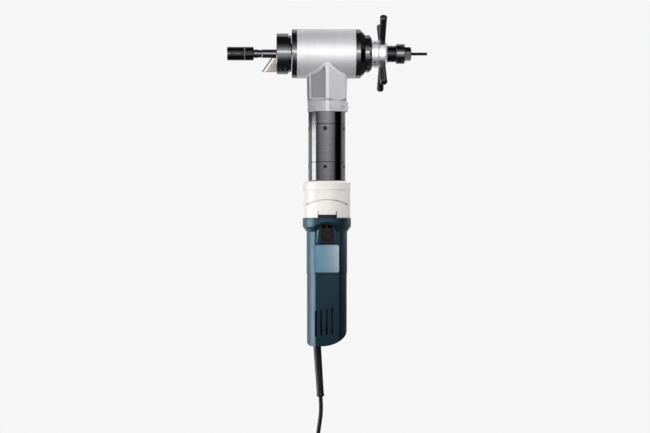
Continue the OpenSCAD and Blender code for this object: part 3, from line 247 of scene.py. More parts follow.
# a ramp through (place, colour) stops, read at a value
def readRamp(tree, value, stops):
    first, last = stops[0][0], stops[-1][0]
    node = addNode(tree, "ShaderNodeValToRGB", {0: shareOf(tree, value, first, last)})
    points = node.color_ramp.elements
    while len(points) < len(stops):
        points.new(0.5)
    for point, (place, colour) in zip(points, stops):
        point.position = (place - first) / (last - first)
        point.color = colour
    return node.outputs["Color"]


# a ramp through (place, level) stops, whose levels may be over 1
def readLevels(tree, value, stops):
    top = max(level for place, level in stops)
    grey = [(place, (*[level / top] * 3, 1.0)) for place, level in stops]
    return times(tree, readRamp(tree, value, grey), top)


# colours in bands across a piece: each stop is a distance from the origin in mm and a colour
def bandColour(tree, place, bands):
    off = vectorCalc(tree, "SUBTRACT", place, bands["origin"])[0]
    stops = [(far * mm, paint(code)) for far, code in bands["stops"]]
    return readRamp(tree, dot(tree, off, bands["along"]), stops)


# what a finish has where it says nothing else
usual = {
    "metal": 0.0, "ior": 1.5, "shine": 0.5, "tint": "#ffffff", "coat": 0.0, "coatRough": 0.1,
    "skinSize": 900.0, "skinDepth": 0.01 * mm, "lines": 3500.0, "markDepth": 0.003 * mm,
    "scratchDepth": 0.002 * mm, "smudgeSize": 40.0, "edgeRadius": 0.4 * mm, "wornShare": 0.5,
}
border = 0.3 * mm  # the soft border where one surface passes into another


# the colour, roughness and relief of one surface
def makeLayer(tree, place, look, hand, edge):
    look = {**usual, **look}
    skin = placeEffect(tree, "skin", {"Vector": place, "Size": look["skinSize"]})
    height = times(tree, skin["Height"], look["skinDepth"])
    shade = skin["Patch"]
    if "axis" in look:
        marks = placeEffect(tree, "toolMarks", {
            "Vector": place, "Axis": look["axis"], "Centre": look["centre"], "Lines": look["lines"]})
        height = plus(tree, height, times(tree, marks["Height"], look["markDepth"]))
        shade = marks["Streak"]
    height = plus(tree, height, times(tree, hand["Scratch"], -look["scratchDepth"]))
    if "bands" in look:
        plain = bandColour(tree, place, look["bands"])
        colour = mixColour(tree, times(tree, shade, look["bands"]["fleck"]), plain, paint(look["shade"]))
    else:
        colour = mixColour(tree, shade, paint(look["colour"]), paint(look["shade"]))
    if "worn" in look:
        share = times(tree, edge["Mask"], look["wornShare"])
        colour = mixColour(tree, share, colour, paint(look["worn"]))
    low, high = look["rough"]
    spread = plus(tree, times(tree, hand["Smudge"], high - low), times(tree, shade, 0.5 * (high - low)))
    return colour, plus(tree, spread, low), height


# 1 between two places and 0 outside them
def between(tree, value, span):
    low, high = [place * mm for place in span]
    return times(tree, shareOf(tree, value, low, low + border), shareOf(tree, value, high, high - border))


# where painted shade or a painted highlight goes: a zone on one face of the neck and on the face opposite,
# clear of the barrel's own surface
def paintedLightMask(tree, place, radius, zone):
    off = vectorCalc(tree, "SUBTRACT", place, (motorX, 0.0, 0.0))[0]
    out = dot(tree, off, zone["face"])
    side = times(tree, dot(tree, off, zone["along"]), calc(tree, "SIGN", out))
    height = addNode(tree, "ShaderNodeSeparateXYZ", {0: place}).outputs["Z"]
    share = times(tree, between(tree, side, zone["span"]), between(tree, height, zone["rise"]))
    far = calc(tree, "GREATER_THAN", calc(tree, "ABSOLUTE", out), zone["least"] * mm)
    clear = calc(tree, "GREATER_THAN", radius, zone["clear"] * mm)
    if "until" in zone:
        clear = times(tree, clear, calc(tree, "LESS_THAN", radius, zone["until"] * mm))
    return times(tree, share, times(tree, far, clear))


# one finish: two shades, a roughness span, and marks, skin and worn edges where the real one has them.
# a finish may pass into a second one beyond a distance from its axis, with zones of painted shade and
# painted highlights of its own
def makeFinish(name, look):
    look = {**usual, **look}
    material, tree = newMaterial(name)
    shader = tree.nodes["Principled BSDF"]
    place = addNode(tree, "ShaderNodeTexCoord").outputs["Object"]
    hand = placeEffect(tree, "handling", {"Vector": place, "Size": look["smudgeSize"]})
    edge = placeEffect(tree, "edge", {"Vector": place, "Radius": look["edgeRadius"]})
    colour, rough, height = makeLayer(tree, place, look, hand, edge)
    shader.inputs["Metallic"].default_value = look["metal"]
    if "beyond" in look:
        second = look["beyond"]
        axis = {"Vector": place, "Axis": look["axis"], "Centre": look["centre"]}
        radius = placeEffect(tree, "toolMarks", axis)["Radius"]
        share = shareOf(tree, radius, second["radius"], second["radius"] + border)
        farColour, farRough, farHeight = makeLayer(tree, place, second, hand, edge)
        colour = mixColour(tree, share, colour, farColour)
        rough = mixValue(tree, share, rough, farRough)
        height = mixValue(tree, share, height, farHeight)
        metal = mixValue(tree, share, look["metal"], second["metal"])
        tree.links.new(metal, shader.inputs["Metallic"])
        # each zone paints shade or a highlight into the colour of the neck's faces
        for zone in second["paintedLightZones"]:
            paintedShare = times(tree, paintedLightMask(tree, place, radius, zone), zone["share"])
            colour = mixColour(tree, paintedShare, colour, paint(zone["colour"]))
    bump = addNode(tree, "ShaderNodeBump", {
        "Height": height, "Normal": edge["Normal"], "Strength": 1.0, "Distance": 1.0})
    tree.links.new(colour, shader.inputs["Base Color"])
    tree.links.new(rough, shader.inputs["Roughness"])
    tree.links.new(bump.outputs[0], shader.inputs["Normal"])
    shader.inputs["IOR"].default_value = look["ior"]
    shader.inputs["Specular IOR Level"].default_value = look["shine"]
    shader.inputs["Specular Tint"].default_value = paint(look["tint"])
    shader.inputs["Coat Weight"].default_value = look["coat"]
    shader.inputs["Coat Roughness"].default_value = look["coatRough"]
    return material


mandrelAxis = {"axis": (1.0, 0.0, 0.0), "centre": (0.0, 0.0, 0.0)}
motorAxis = {"axis": (0.0, 0.0, 1.0), "centre": (motorX, 0.0, 0.0)}

# the cast neck, with zones of painted light on its faces: the pocket darker, partly its as-cast floor and
# partly painted shade; a painted highlight on the front ridge; painted shade on a corner face turned away
# from the key lamp; a painted highlight along the junction line. in mm, span goes across the face, rise is
# the height, least the way out from the motor's axis, and clear and until the way out from the barrel's
castNeck = {
    "radius": 37.1 * mm, "metal": 0.0, "colour": "#c6c6c8", "shade": "#b8b8ba", "rough": (0.5, 0.62),
    "skinSize": 620.0, "skinDepth": 0.09 * mm,
    "paintedLightZones": [
        {"face": (-0.5, -0.866, 0.0), "along": (0.866, -0.5, 0.0), "least": 20, "span": (-10.6, 13.2),
         "rise": (-67.6, -20.0), "clear": 38.6, "colour": "#8a8a8c", "share": 0.8},
        {"face": (0.0, -1.0, 0.0), "along": (1.0, 0.0, 0.0), "least": 20, "span": (-2.6, 2.6),
         "rise": (-87.7, -20.0), "clear": 37.3, "colour": "#e4e4e6", "share": 1.0},
        {"face": (-0.866, -0.5, 0.0), "along": (0.5, -0.866, 0.0), "least": 20, "span": (-2.9, 2.9),
         "rise": (-71.0, -20.0), "clear": 38.6, "colour": "#707072", "share": 0.8},
        {"face": (0.0, 0.0, 1.0), "along": (1.0, 0.0, 0.0), "least": 10, "span": (-40.0, 40.0),
         "rise": (-45.0, -10.0), "clear": 37.2, "until": 38.5, "colour": "#f6f6f8", "share": 0.55},
    ],
}
# the blade's face in bands back from the cutting edge: a painted dark reflection on the ground edge, a
# painted highlight on the band behind it, then the coating's own colour
bladeCoatAndFacetLight = {
    "origin": (31.6 * mm, 0.0, -27.3 * mm), "along": (0.824, 0.0, -0.566), "fleck": 0.35,
    "stops": [(0.0, "#55554e"), (1.8, "#55554e"), (2.2, "#e6e2da"), (5.2, "#e6e2da"), (5.6, "#8f8a7f"),
              (20.0, "#8a857a")],
}
# the motor's teal in bands up its height: the rear cover's tone below the seam, painted shade in the seam's
# groove, the grip's tone above
tealTonesAndSeamShade = {
    "origin": (motorX, 0.0, -329.5 * mm), "along": (0.0, 0.0, 1.0), "fleck": 0.5,
    "stops": [(-120.0, "#11222a"), (-1.1, "#11222a"), (-0.8, "#040a0e"), (0.8, "#040a0e"),
              (1.1, "#112a38"), (90.0, "#112b3a")],
}
labelBands = {
    "origin": (motorX, 0.0, 0.0), "along": (1.0, 0.0, 0.0), "fleck": 0.2,
    "stops": [(-17.6, "#74a8c4"), (-4.0, "#86aac0"), (6.0, "#9db9c8"), (17.6, "#c4d6de")],
}

finishes = {
    "blued_steel": {**mandrelAxis, "metal": 1.0, "colour": "#6a6a6c", "shade": "#606062",
                    "rough": (0.07, 0.13), "worn": "#a8a8aa", "wornShare": 0.3, "edgeRadius": 0.3 * mm,
                    "lines": 2500.0, "markDepth": 0.0012 * mm},
    "jaw_steel": {**mandrelAxis, "metal": 1.0, "colour": "#48484a", "shade": "#343436",
                  "rough": (0.12, 0.22), "worn": "#9c9c9a", "lines": 1500.0, "markDepth": 0.004 * mm},
    "spring_steel": {"metal": 0.7, "colour": "#bdbbb4", "shade": "#a5a39c", "rough": (0.3, 0.45)},
    "cast_aluminium": {**mandrelAxis, "metal": 0.68, "colour": "#e8e8ea", "shade": "#dcdcdd",
                       "rough": (0.54, 0.62), "skinSize": 1400.0, "lines": 1800.0,
                       "markDepth": 0.004 * mm, "beyond": castNeck},
    "black_anodised": {**motorAxis, "metal": 1.0, "colour": "#6a6a6c", "shade": "#606062",
                       "rough": (0.09, 0.15), "worn": "#b0b0b2", "wornShare": 0.2, "lines": 2500.0,
                       "markDepth": 0.0012 * mm},
    "turned_aluminium": {**mandrelAxis, "metal": 0.6, "colour": "#f8f8fa", "shade": "#ececee",
                         "rough": (0.24, 0.34), "lines": 2200.0, "markDepth": 0.006 * mm},
    "black_paint": {"colour": "#1c1c1e", "shade": "#161618", "rough": (0.1, 0.22), "coat": 0.6,
                    "worn": "#7a7a7a", "wornShare": 0.15, "skinDepth": 0.02 * mm, "skinSize": 500.0},
    "ground_steel": {**mandrelAxis, "metal": 1.0, "colour": "#6c6e71", "shade": "#606265",
                     "rough": (0.18, 0.3)},
    "gear_steel": {**motorAxis, "metal": 1.0, "colour": "#8d8f93", "shade": "#77797d",
                   "rough": (0.25, 0.4)},
    "coated_steel": {"metal": 0.5, "shade": "#8c877c", "rough": (0.3, 0.42), "skinSize": 2400.0,
                     "bands": bladeCoatAndFacetLight},
    "black_screw": {"metal": 0.3, "colour": "#161618", "shade": "#101012", "rough": (0.35, 0.5),
                    "shine": 0.4, "worn": "#5a5a5c", "wornShare": 0.2},
    "bronze": {**mandrelAxis, "metal": 1.0, "colour": "#b08d4f", "shade": "#94733a", "rough": (0.25, 0.4)},
    "seal_rubber": {"colour": "#262626", "shade": "#1c1c1c", "rough": (0.6, 0.75)},
    "cream_plastic": {"colour": "#f2f1ed", "shade": "#eceae5", "rough": (0.3, 0.42),
                      "skinDepth": 0.006 * mm},
    "teal_plastic": {"shade": "#0c1f2b", "rough": (0.32, 0.41), "tint": "#b9e6fb", "shine": 0.8,
                     "skinSize": 1600.0, "skinDepth": 0.012 * mm, "bands": tealTonesAndSeamShade},
    "black_plastic": {"colour": "#1b1b1d", "shade": "#151517", "rough": (0.42, 0.55), "shine": 0.3,
                      "skinSize": 1500.0},
    "slider_plastic": {"colour": "#140f0e", "shade": "#0f0b0a", "rough": (0.32, 0.45), "shine": 0.3},
    "label_foil": {"metal": 0.7, "shade": "#6f90a4", "rough": (0.28, 0.36), "bands": labelBands},
    "stator_steel": {**motorAxis, "metal": 1.0, "colour": "#8b8c8e", "shade": "#6c6d70",
                     "rough": (0.4, 0.55), "lines": 1000.0, "markDepth": 0.03 * mm},
    "copper": {**motorAxis, "metal": 1.0, "colour": "#b8743c", "shade": "#8e5020", "rough": (0.3, 0.42)},
    "carbon": {"colour": "#1e1e20", "shade": "#28282b", "rough": (0.45, 0.6)},
    "brass": {"metal": 1.0, "colour": "#c9a95a", "shade": "#ac8c40", "rough": (0.25, 0.4)},
    "cord_rubber": {"colour": "#1b1b1c", "shade": "#222223", "rough": (0.32, 0.45), "shine": 0.35},
    "strap": {"colour": "#202022", "shade": "#2a2a2c", "rough": (0.7, 0.85), "skinDepth": 0.1 * mm},
    "pin_metal": {"metal": 1.0, "colour": "#d0d0d2", "shade": "#bcbcbe", "rough": (0.15, 0.25)},
}
materials = {slot: makeFinish(slot, look) for slot, look in finishes.items()}
for part in frame["record"]["subparts"]:
    thing = nodes[part["node"]]
    thing.material_slots[0].material = materials[part["material_slot"]]
print("finishes made,", len(materials))


def addPiece(name, mesh, body, slot, replaced=()):
    thing = addObject(name, mesh)
    mesh.materials.clear()
    mesh.materials.append(materials[slot])
    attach(thing, body)
    if replaced:
        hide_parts(*replaced)
    return thing


# the cord comes out of the strain relief, hangs, and is folded into a hank below the view. sizes in mm
cord = {
    "diameter": 6.4 * mm,
    "route": [
        (120, 0, -513.9), (120.3, 0, -520.2), (120.6, 0, -527), (120.6, 0, -534), (120.2, 0, -541),
        (119.4, 0, -548), (118.4, 0, -555), (117.4, 0, -562), (116.5, 0, -569), (115.8, -1, -577),
        (115.3, -2, -586), (115.1, -3, -596), (115, -3.6, -606), (115, -3.6, -616),
    ],
    "start": (115, -3.6, -626),  # of the hank
    "turns": 5, "lastTurn": 0.25, "perTurn": 48, "smooth": 3,
    "run": 124,  # the straight legs
    "fold": 19.6, "step": 7.9, "shift": 0.1,  # the tightest fold, and how the others grow round it
    "layer": 7.2, "climb": 0.25,  # from one layer to the other within a part of a turn
    "waist": 15.4,  # how far the strap draws the legs together
    "tail": 58, "tailSteps": 8,
}


# t counts the hank's turns: four legs a turn, two straight and two round
def hankRadius(t):
    return cord["fold"] + cord["step"] * abs(t - cord["turns"] / 2 - cord["shift"])


def hankPoint(t):
    climb = min(max((t - cord["turns"] / 2) / cord["climb"], 0), 1)
    y = -math.cos(math.pi * climb) * cord["layer"] / 2
    leg, f = divmod((t - math.floor(t)) * 4, 1)
    r = hankRadius(t)
    middle = cord["start"][0] - hankRadius(0)
    top = cord["start"][2]
    draw = cord["waist"] * (1 - math.cos(2 * math.pi * f)) / 2
    side, rise = math.cos(math.pi * f), math.sin(math.pi * f)
    if leg == 0:
        return (middle + r - draw, y, top - cord["run"] * f)
    if leg == 1:
        return (middle + r * side, y, top - cord["run"] - r * rise)
    if leg == 2:
        return (middle - r + draw, y, top - cord["run"] * (1 - f))
    return (middle - r * side, y, top + r * rise)


def cordPoints():
    count = int((cord["turns"] + cord["lastTurn"]) * cord["perTurn"])
    loops = [hankPoint(i / cord["perTurn"]) for i in range(count + 1)]
    x, y, z = loops[-1]
    steps = cord["tailSteps"]
    tail = [(x, y, z - cord["tail"] * i / steps) for i in range(1, steps + 1)]
    return [Vector(p) * mm for p in cord["route"] + loops + tail]


def smoothLine(points, steps):
    line = []
    for i in range(len(points) - 1):
        a, b = points[max(i - 1, 0)], points[i]
        c, d = points[i + 1], points[min(i + 2, len(points) - 1)]
        for k in range(steps):
            t = k / steps
            line.append(0.5 * (2 * b + (c - a) * t + (2 * a - 5 * b + 4 * c - d) * t * t
                               + (3 * b - a - 3 * c + d) * t ** 3))
    return line + [points[-1]]


def makeCord():
    line = smoothLine(cordPoints(), cord["smooth"])
    curve = bpy.data.curves.new("flexCord", "CURVE")
    curve.dimensions = "3D"
    spline = curve.splines.new("POLY")
    spline.points.add(len(line) - 1)
    for point, place in zip(spline.points, line):
        point.co = (*place, 1.0)
    curve.bevel_depth = cord["diameter"] / 2
    curve.bevel_resolution = 3
    curve.use_fill_caps = True
    curve.materials.append(materials["cord_rubber"])
    thing = addObject("flexCord", curve)
    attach(thing, "machine")
    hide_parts("cord", "cord_hank")
    length = sum((b - a).length for a, b in zip(line, line[1:]))
    return thing, line, length


flexCord, cordLine, cordLength = makeCord()
print("cord", round(cordLength, 3), "m")


# a mesh grown by a geometry-node tree from the values for its inputs
def growMesh(name, group, values):
    thing = addObject(name, bpy.data.meshes.new(name))
    modifier = thing.modifiers.new("grow", "NODES")
    modifier.node_group = group
    for item in group.interface.items_tree:
        if item.in_out == "INPUT" and item.name in values:
            modifier[item.identifier] = values[item.name]
    grown = bpy.data.meshes.new_from_object(thing.evaluated_get(bpy.context.evaluated_depsgraph_get()))
    thing.modifiers.remove(modifier)
    bpy.data.objects.remove(thing)
    grown.name = name
    return grown


def meshFrom(build, name):
    mesh = bpy.data.meshes.new(name)
    build.to_mesh(mesh)
    build.free()
    return mesh


# closes seams, turns the faces outward and keeps edges sharper than an angle
def cleanMesh(mesh, sharp=35.0):
    build = bmesh.new()
    build.from_mesh(mesh)
    bmesh.ops.remove_doubles(build, verts=build.verts, dist=closest)
    bmesh.ops.dissolve_degenerate(build, edges=build.edges, dist=closest)
    bmesh.ops.recalc_face_normals(build, faces=build.faces)
    build.to_mesh(mesh)
    build.free()
    mesh.polygons.foreach_set("use_smooth", [True] * len(mesh.polygons))
    mesh.set_sharp_from_angle(angle=math.radians(sharp))
    mesh.update()
    return mesh


# faces between rings of equally many points: the rings meet, or both ends are closed
def joinRings(build, rings, meet):
    for one, two in zip(rings, rings[1:] + (rings[:1] if meet else [])):
        for i in range(len(one)):
            j = (i + 1) % len(one)
            build.faces.new((one[i], one[j], two[j], two[i]))
    if not meet:
        build.faces.new(rings[0])
        build.faces.new(rings[-1])


# a place at a radius and an angle round the X axis
def aroundX(group, along, radius, angle):
    return addNode(group, "ShaderNodeCombineXYZ", {
        "X": along,
        "Y": times(group, radius, calc(group, "COSINE", angle)),
        "Z": times(group, radius, calc(group, "SINE", angle)),
    }).outputs[0]


def endTree(group, geometry, given, result):
    smooth = addNode(group, "GeometryNodeSetShadeSmooth", {"Geometry": geometry})
    real = addNode(group, "GeometryNodeRealizeInstances", {"Geometry": smooth.outputs[0]})
    painted = addNode(group, "GeometryNodeSetMaterial", {
        "Geometry": real.outputs[0], "Material": given["Material"]})
    putOut(group, result, {"Geometry": painted.outputs[0]})


# a threaded bar or sleeve along X: rows of points round the axis whose radius follows the helix.
# the first and last rows close the bore
def threadGroup():
    group, given, result = newGroup("thread", "GeometryNodeTree", {
        "Start": ("Float", 0.0), "Length": ("Float", 0.05), "Crest": ("Float", 0.013),
        "Root": ("Float", 0.012), "Root Flat": ("Float", 0.08), "Crest Flat": ("Float", 0.95),
        "End Cut": ("Float", 0.2 * mm), "Bore": ("Float", 0.009), "Pitch": ("Float", 0.002),
        "Rows": ("Int", 300), "Columns": ("Int", 73), "Material": ("Material", None),
    }, {"Geometry": "Geometry"})
    grid = addNode(group, "GeometryNodeMeshGrid", {
        "Size X": 1.0, "Size Y": 1.0, "Vertices X": given["Rows"], "Vertices Y": given["Columns"]})
    position = addNode(group, "GeometryNodeInputPosition").outputs[0]
    place = addNode(group, "ShaderNodeSeparateXYZ", {0: position}).outputs
    last = minus(group, given["Rows"], 1.0)
    row = calc(group, "ROUND", times(group, plus(group, place["X"], 0.5), last))
    turn = plus(group, place["Y"], 0.5)
    share = shareOf(group, row, 1.0, minus(group, last, 2.0))
    travel = times(group, share, given["Length"])
    phase = calc(group, "FRACT", plus(group, calc(group, "DIVIDE", travel, given["Pitch"]), turn))
    slope = calc(group, "ABSOLUTE", calc(group, "MULTIPLY_ADD", phase, 2.0, -1.0))
    flank = shareOf(group, slope, given["Root Flat"], given["Crest Flat"])
    depth = minus(group, given["Crest"], given["Root"])
    ridge = calc(group, "MULTIPLY_ADD", flank, depth, given["Root"])
    behind = calc(group, "MINIMUM", travel, minus(group, given["Length"], travel))
    chamfer = plus(group, minus(group, given["Root"], given["End Cut"]), behind)
    outside = calc(group, "MINIMUM", ridge, chamfer)
    inBore = calc(group, "MAXIMUM", calc(group, "LESS_THAN", row, 0.5),
                  calc(group, "GREATER_THAN", row, minus(group, last, 1.5)))
    radius = mixValue(group, inBore, outside, given["Bore"])
    closing = calc(group, "GREATER_THAN", row, minus(group, last, 0.5))
    along = plus(group, given["Start"], times(group, travel, minus(group, 1.0, closing)))
    moved = aroundX(group, along, radius, times(group, turn, math.tau))
    shaped = addNode(group, "GeometryNodeSetPosition", {
        "Geometry": grid.outputs["Mesh"], "Position": moved})
    merged = addNode(group, "GeometryNodeMergeByDistance", {
        "Geometry": shaped.outputs[0], "Distance": closest})
    endTree(group, merged.outputs[0], given, result)
    return group


# a close coil of spring wire bent round the X axis, from one angle to another
def springGroup():
    group, given, result = newGroup("spring", "GeometryNodeTree", {
        "Place": ("Float", 0.0), "Radius": ("Float", 0.009), "Coil": ("Float", 0.0006),
        "Wire": ("Float", 0.0002), "Sides": ("Int", 6), "From": ("Float", 0.0), "To": ("Float", 1.0),
        "Turns": ("Int", 20), "Steps": ("Int", 10), "Material": ("Material", None),
    }, {"Geometry": "Geometry"})
    count = calc(group, "MULTIPLY_ADD", given["Turns"], given["Steps"], 1.0)
    line = addNode(group, "GeometryNodeMeshLine", {"Count": count}).outputs[0]
    index = addNode(group, "GeometryNodeInputIndex").outputs[0]
    share = calc(group, "DIVIDE", index, minus(group, count, 1.0))
    sweep = minus(group, given["To"], given["From"])
    angle = calc(group, "MULTIPLY_ADD", share, sweep, given["From"])
    coil = times(group, calc(group, "DIVIDE", index, given["Steps"]), math.tau)
    along = calc(group, "MULTIPLY_ADD", calc(group, "SINE", coil), given["Coil"], given["Place"])
    radius = calc(group, "MULTIPLY_ADD", calc(group, "COSINE", coil), given["Coil"], given["Radius"])
    moved = aroundX(group, along, radius, angle)
    bent = addNode(group, "GeometryNodeSetPosition", {"Geometry": line, "Position": moved})
    wire = addNode(group, "GeometryNodeMeshToCurve", {"Mesh": bent.outputs[0]})
    section = addNode(group, "GeometryNodeCurvePrimitiveCircle", {
        "Resolution": given["Sides"], "Radius": given["Wire"]})
    tube = addNode(group, "GeometryNodeCurveToMesh", {
        "Curve": wire.outputs[0], "Profile Curve": section.outputs[0], "Fill Caps": True})
    endTree(group, tube.outputs[0], given, result)
    return group


threadTree = threadGroup()
springTree = springGroup()

# the feed thread on the sleeve, and the fine thread on the draw rod's tail
sleeveThread = {"Start": 185.2 * mm, "Length": 47.8 * mm, "Crest": 13 * mm, "Root": 11.9 * mm,
                "Bore": 9.02 * mm, "Pitch": 2 * mm, "Rows": 340, "Columns": 97}
rodThread = {"Start": 246.5 * mm, "Length": 33.4 * mm, "Crest": 2.35 * mm, "Root": 2.1 * mm,
             "Bore": 0.0, "Pitch": 1.0 * mm, "Rows": 340, "Columns": 41}


def makeThread(name, sizes, body, slot, *replaced):
    mesh = growMesh(name, threadTree, {**sizes, "Material": materials[slot]})
    return addPiece(name, cleanMesh(mesh), body, slot, replaced)


# the rod's plain front with the wedge is the CAD form up to the thread
def makeRodFront(sizes):
    build = bmesh.new()
    build.from_mesh(nodes["draw_rod"].data)
    everything = build.verts[:] + build.edges[:] + build.faces[:]
    bmesh.ops.bisect_plane(build, geom=everything, plane_co=(sizes["Start"], 0, 0), plane_no=(1, 0, 0),
                           clear_outer=True)
    bmesh.ops.holes_fill(build, edges=[edge for edge in build.edges if edge.is_boundary])
    mesh = meshFrom(build, "drawRodFront")
    return addPiece("drawRodFront", cleanMesh(mesh), "draw_rod", "blued_steel", ("draw_rod",))


makeThread("feedThread", sleeveThread, "mandrel", "blued_steel", "thread_sleeve")
makeThread("drawRodThread", rodThread, "draw_rod", "black_screw", "draw_rod")
makeRodFront(rodThread)

# the ring spring round the jaws, in half arcs from each jaw's middle to the slots beside it
jawSpring = {
    "Place": 6.3 * mm, "Radius": 9.35 * mm, "Coil": 0.62 * mm, "Wire": 0.22 * mm, "Turns": 19, "Steps": 10,
    "bearings": {"jaw_1": 30, "jaw_2": 150, "jaw_3": -90},  # the jaws' middles, with slots 60 degrees off
    "gap": math.radians(1.8),  # left free at the slot's middle
    "stretch": 1.2 * mm,  # where the arc passes from the mandrel to the jaw
    "sharp": 80.0,  # no edge of the wire stays sharp
}


def makeJawSpring(sizes):
    for number, (body, bearing) in enumerate(sizes["bearings"].items()):
        for side in (-1, 1):
            middle, slot = math.radians(bearing), math.radians(bearing + 60 * side)
            name = f"jawSpring{2 * number + (side + 3) // 2}"
            mesh = growMesh(name, springTree, {
                **sizes, "From": slot - sizes["gap"] * side, "To": middle,
                "Material": materials["spring_steel"]})
            thing = addObject(name, cleanMesh(mesh, sizes["sharp"]))
            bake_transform(thing)
            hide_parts("jaw_ring")


makeJawSpring(jawSpring)
print("threads and springs grown")

# the cove where the cast neck runs into the barrel: a closed strip along the line where they meet
cove = {
    "barrelRadius": 37 * mm, "neckEnd": -87.6 * mm, "draft": math.radians(1.2),
    "facet": 28.9 * mm, "corner": 31.8 * mm,  # the neck's faces by turns, from its axis
    "reach": 1.2 * mm,  # along each surface
    "depth": 1.9 * mm, "lean": 0.6,  # of the hidden edge, inward and up
    "lift": 0.06 * mm, "tuck": 0.03,  # the upper edge clear of the barrel, the lower one in the neck
    "steps": 180, "arc": 6, "tries": 6, "sharp": 50.0,
}


# how far out the neck's surface is, which has twelve drafted faces
def neckRadius(angle, z):
    grow = (z - cove["neckEnd"]) * math.tan(cove["draft"])
    reached = []
    for i in range(12):
        facing = math.cos(angle - math.radians(30 * i))
        if facing > 0.5:
            reached.append(((cove["corner"] if i % 2 else cove["facet"]) + grow) / facing)
    return min(reached)


# a point at an angle and a radius from the motor's axis, on the barrel unless a height is given
def covePoint(angle, radius, z=None):
    x, y = motorX + radius * math.cos(angle), radius * math.sin(angle)
    if z is None:
        z = -math.sqrt(max(cove["barrelRadius"] ** 2 - y * y, 0.0))
    return Vector((x, y, z))


def coveSection(angle):
    z = -cove["barrelRadius"] / 2
    for k in range(cove["tries"]):
        radius = neckRadius(angle, z)
        z = covePoint(angle, radius).z
    corner = covePoint(angle, radius)
    high = covePoint(angle, radius + cove["reach"])
    low = covePoint(angle, neckRadius(angle, z - cove["reach"]), z - cove["reach"])
    curve = []
    for k in range(cove["arc"] + 1):
        f = k / cove["arc"]
        curve.append(high * (1 - f) ** 2 + corner * 2 * f * (1 - f) + low * f * f)
    inward = Vector((-math.cos(angle), -math.sin(angle), cove["lean"])) * cove["depth"]
    curve[0] = curve[0] + Vector((0, 0, cove["lift"]))
    curve[-1] = curve[-1] + inward * cove["tuck"]
    return curve + [corner + inward]


def makeCove():
    build = bmesh.new()
    rings = [[build.verts.new(point) for point in coveSection(math.tau * k / cove["steps"])]
             for k in range(cove["steps"])]
    joinRings(build, rings, True)
    mesh = cleanMesh(meshFrom(build, "castingCove"), cove["sharp"])
    return addPiece("castingCove", mesh, "machine", "cast_aluminium")


makeCove()

# pieces swept round the barrel's axis, or the motor's where upright: a closed section of (along, radius)
# points in mm and two bearings in degrees
swept = {
    "headSkirt": {
        "body": "cutter", "slot": "blued_steel", "bearings": (0, 360), "columns": 180,
        "section": [(74.3, 15.2), (74.3, 27.7), (75.9, 27.7), (76.2, 27.4), (76.2, 15.2)]},
    "ringLip": {
        "body": "machine", "slot": "black_anodised", "bearings": (0, 360), "columns": 180,
        "section": [(76.75, 30.0), (76.75, 36.0), (77.5, 36.82), (81.0, 36.82), (81.0, 30.0)]},
    "castingShoulder1": {
        "body": "machine", "slot": "cast_aluminium", "bearings": (220.5, 266), "columns": 48,
        "section": [(100.4, 36.2), (100.4, 37.02), (122.5, 37.02), (122.5, 36.2)]},
    "castingShoulder2": {
        "body": "machine", "slot": "cast_aluminium", "bearings": (274, 319.5), "columns": 48,
        "section": [(136.4, 36.2), (136.4, 37.02), (158.5, 37.02), (158.5, 36.2)]},
    # a black plastic strip on the adapter's front at the latch, which also stands in as painted shade for
    # the shadow of the recess there
    "latchTrimAndShade": {
        "body": "machine", "slot": "black_plastic", "bearings": (248, 292), "columns": 24, "upright": True,
        "section": [(-245.9, 35.1), (-245.9, 35.8), (-241.5, 35.8), (-241.5, 35.1)]},
}


def sweptPoint(upright, along, radius, angle):
    c, s = radius * math.cos(angle), radius * math.sin(angle)
    return Vector((motorX / mm + c, s, along) if upright else (along, c, s)) * mm


def makeSwept(name, piece):
    first, last = piece["bearings"]
    whole = last - first == 360
    build = bmesh.new()
    rings = []
    for k in range(piece["columns"] + (0 if whole else 1)):
        angle = math.radians(first + (last - first) * k / piece["columns"])
        rings.append([build.verts.new(sweptPoint("upright" in piece, along, radius, angle))
                      for along, radius in piece["section"]])
    joinRings(build, rings, whole)
    mesh = cleanMesh(meshFrom(build, name), sharp=30.0)
    return addPiece(name, mesh, piece["body"], piece["slot"])


for name, piece in swept.items():
    makeSwept(name, piece)


# a turned form about an upright axis, whose radius may change round it
def turnMesh(name, centre, profile, columns, change):
    build = bmesh.new()
    rings = []
    for row, (radius, z) in enumerate(profile):
        if radius == 0:
            rings.append([build.verts.new((centre[0], centre[1], z))])
            continue
        ring = []
        for k in range(columns):
            angle = math.tau * k / columns
            far = radius + change(row, angle)
            x, y = centre[0] + far * math.cos(angle), centre[1] + far * math.sin(angle)
            ring.append(build.verts.new((x, y, z)))
        rings.append(ring)
    for low, high in zip(rings, rings[1:]):
        for k in range(columns):
            j = (k + 1) % columns
            if len(low) == 1:
                build.faces.new((low[0], high[k], high[j]))
            elif len(high) == 1:
                build.faces.new((low[k], low[j], high[0]))
            else:
                build.faces.new((low[k], low[j], high[j], high[k]))
    return cleanMesh(meshFrom(build, name))


# the moulded plug: ribbed bend protector, fluted grip and a rim round the pins' face. sizes in mm
plug = {
    "collar": [(0, 0), (3.6, 0), (4.6, 0.6)],  # radius, below the top
    "neck": 4.8, "firstRib": 1.4, "ribs": 7, "ribPitch": 2.5, "ribDepth": 0.7, "ribGrow": 0.2,
    # share of the rim's radius, below the top
    "grip": [(0.4, 19.6), (0.58, 23), (0.72, 27.4), (0.8, 30), (0.94, 33), (1, 35.4)],
    "rim": [(0, 1.5), (0.4, 0.4), (1.5, 0)],  # in from the rim, above the bottom
    "flutes": 22, "fluteDepth": 0.55, "columns": 132,
}


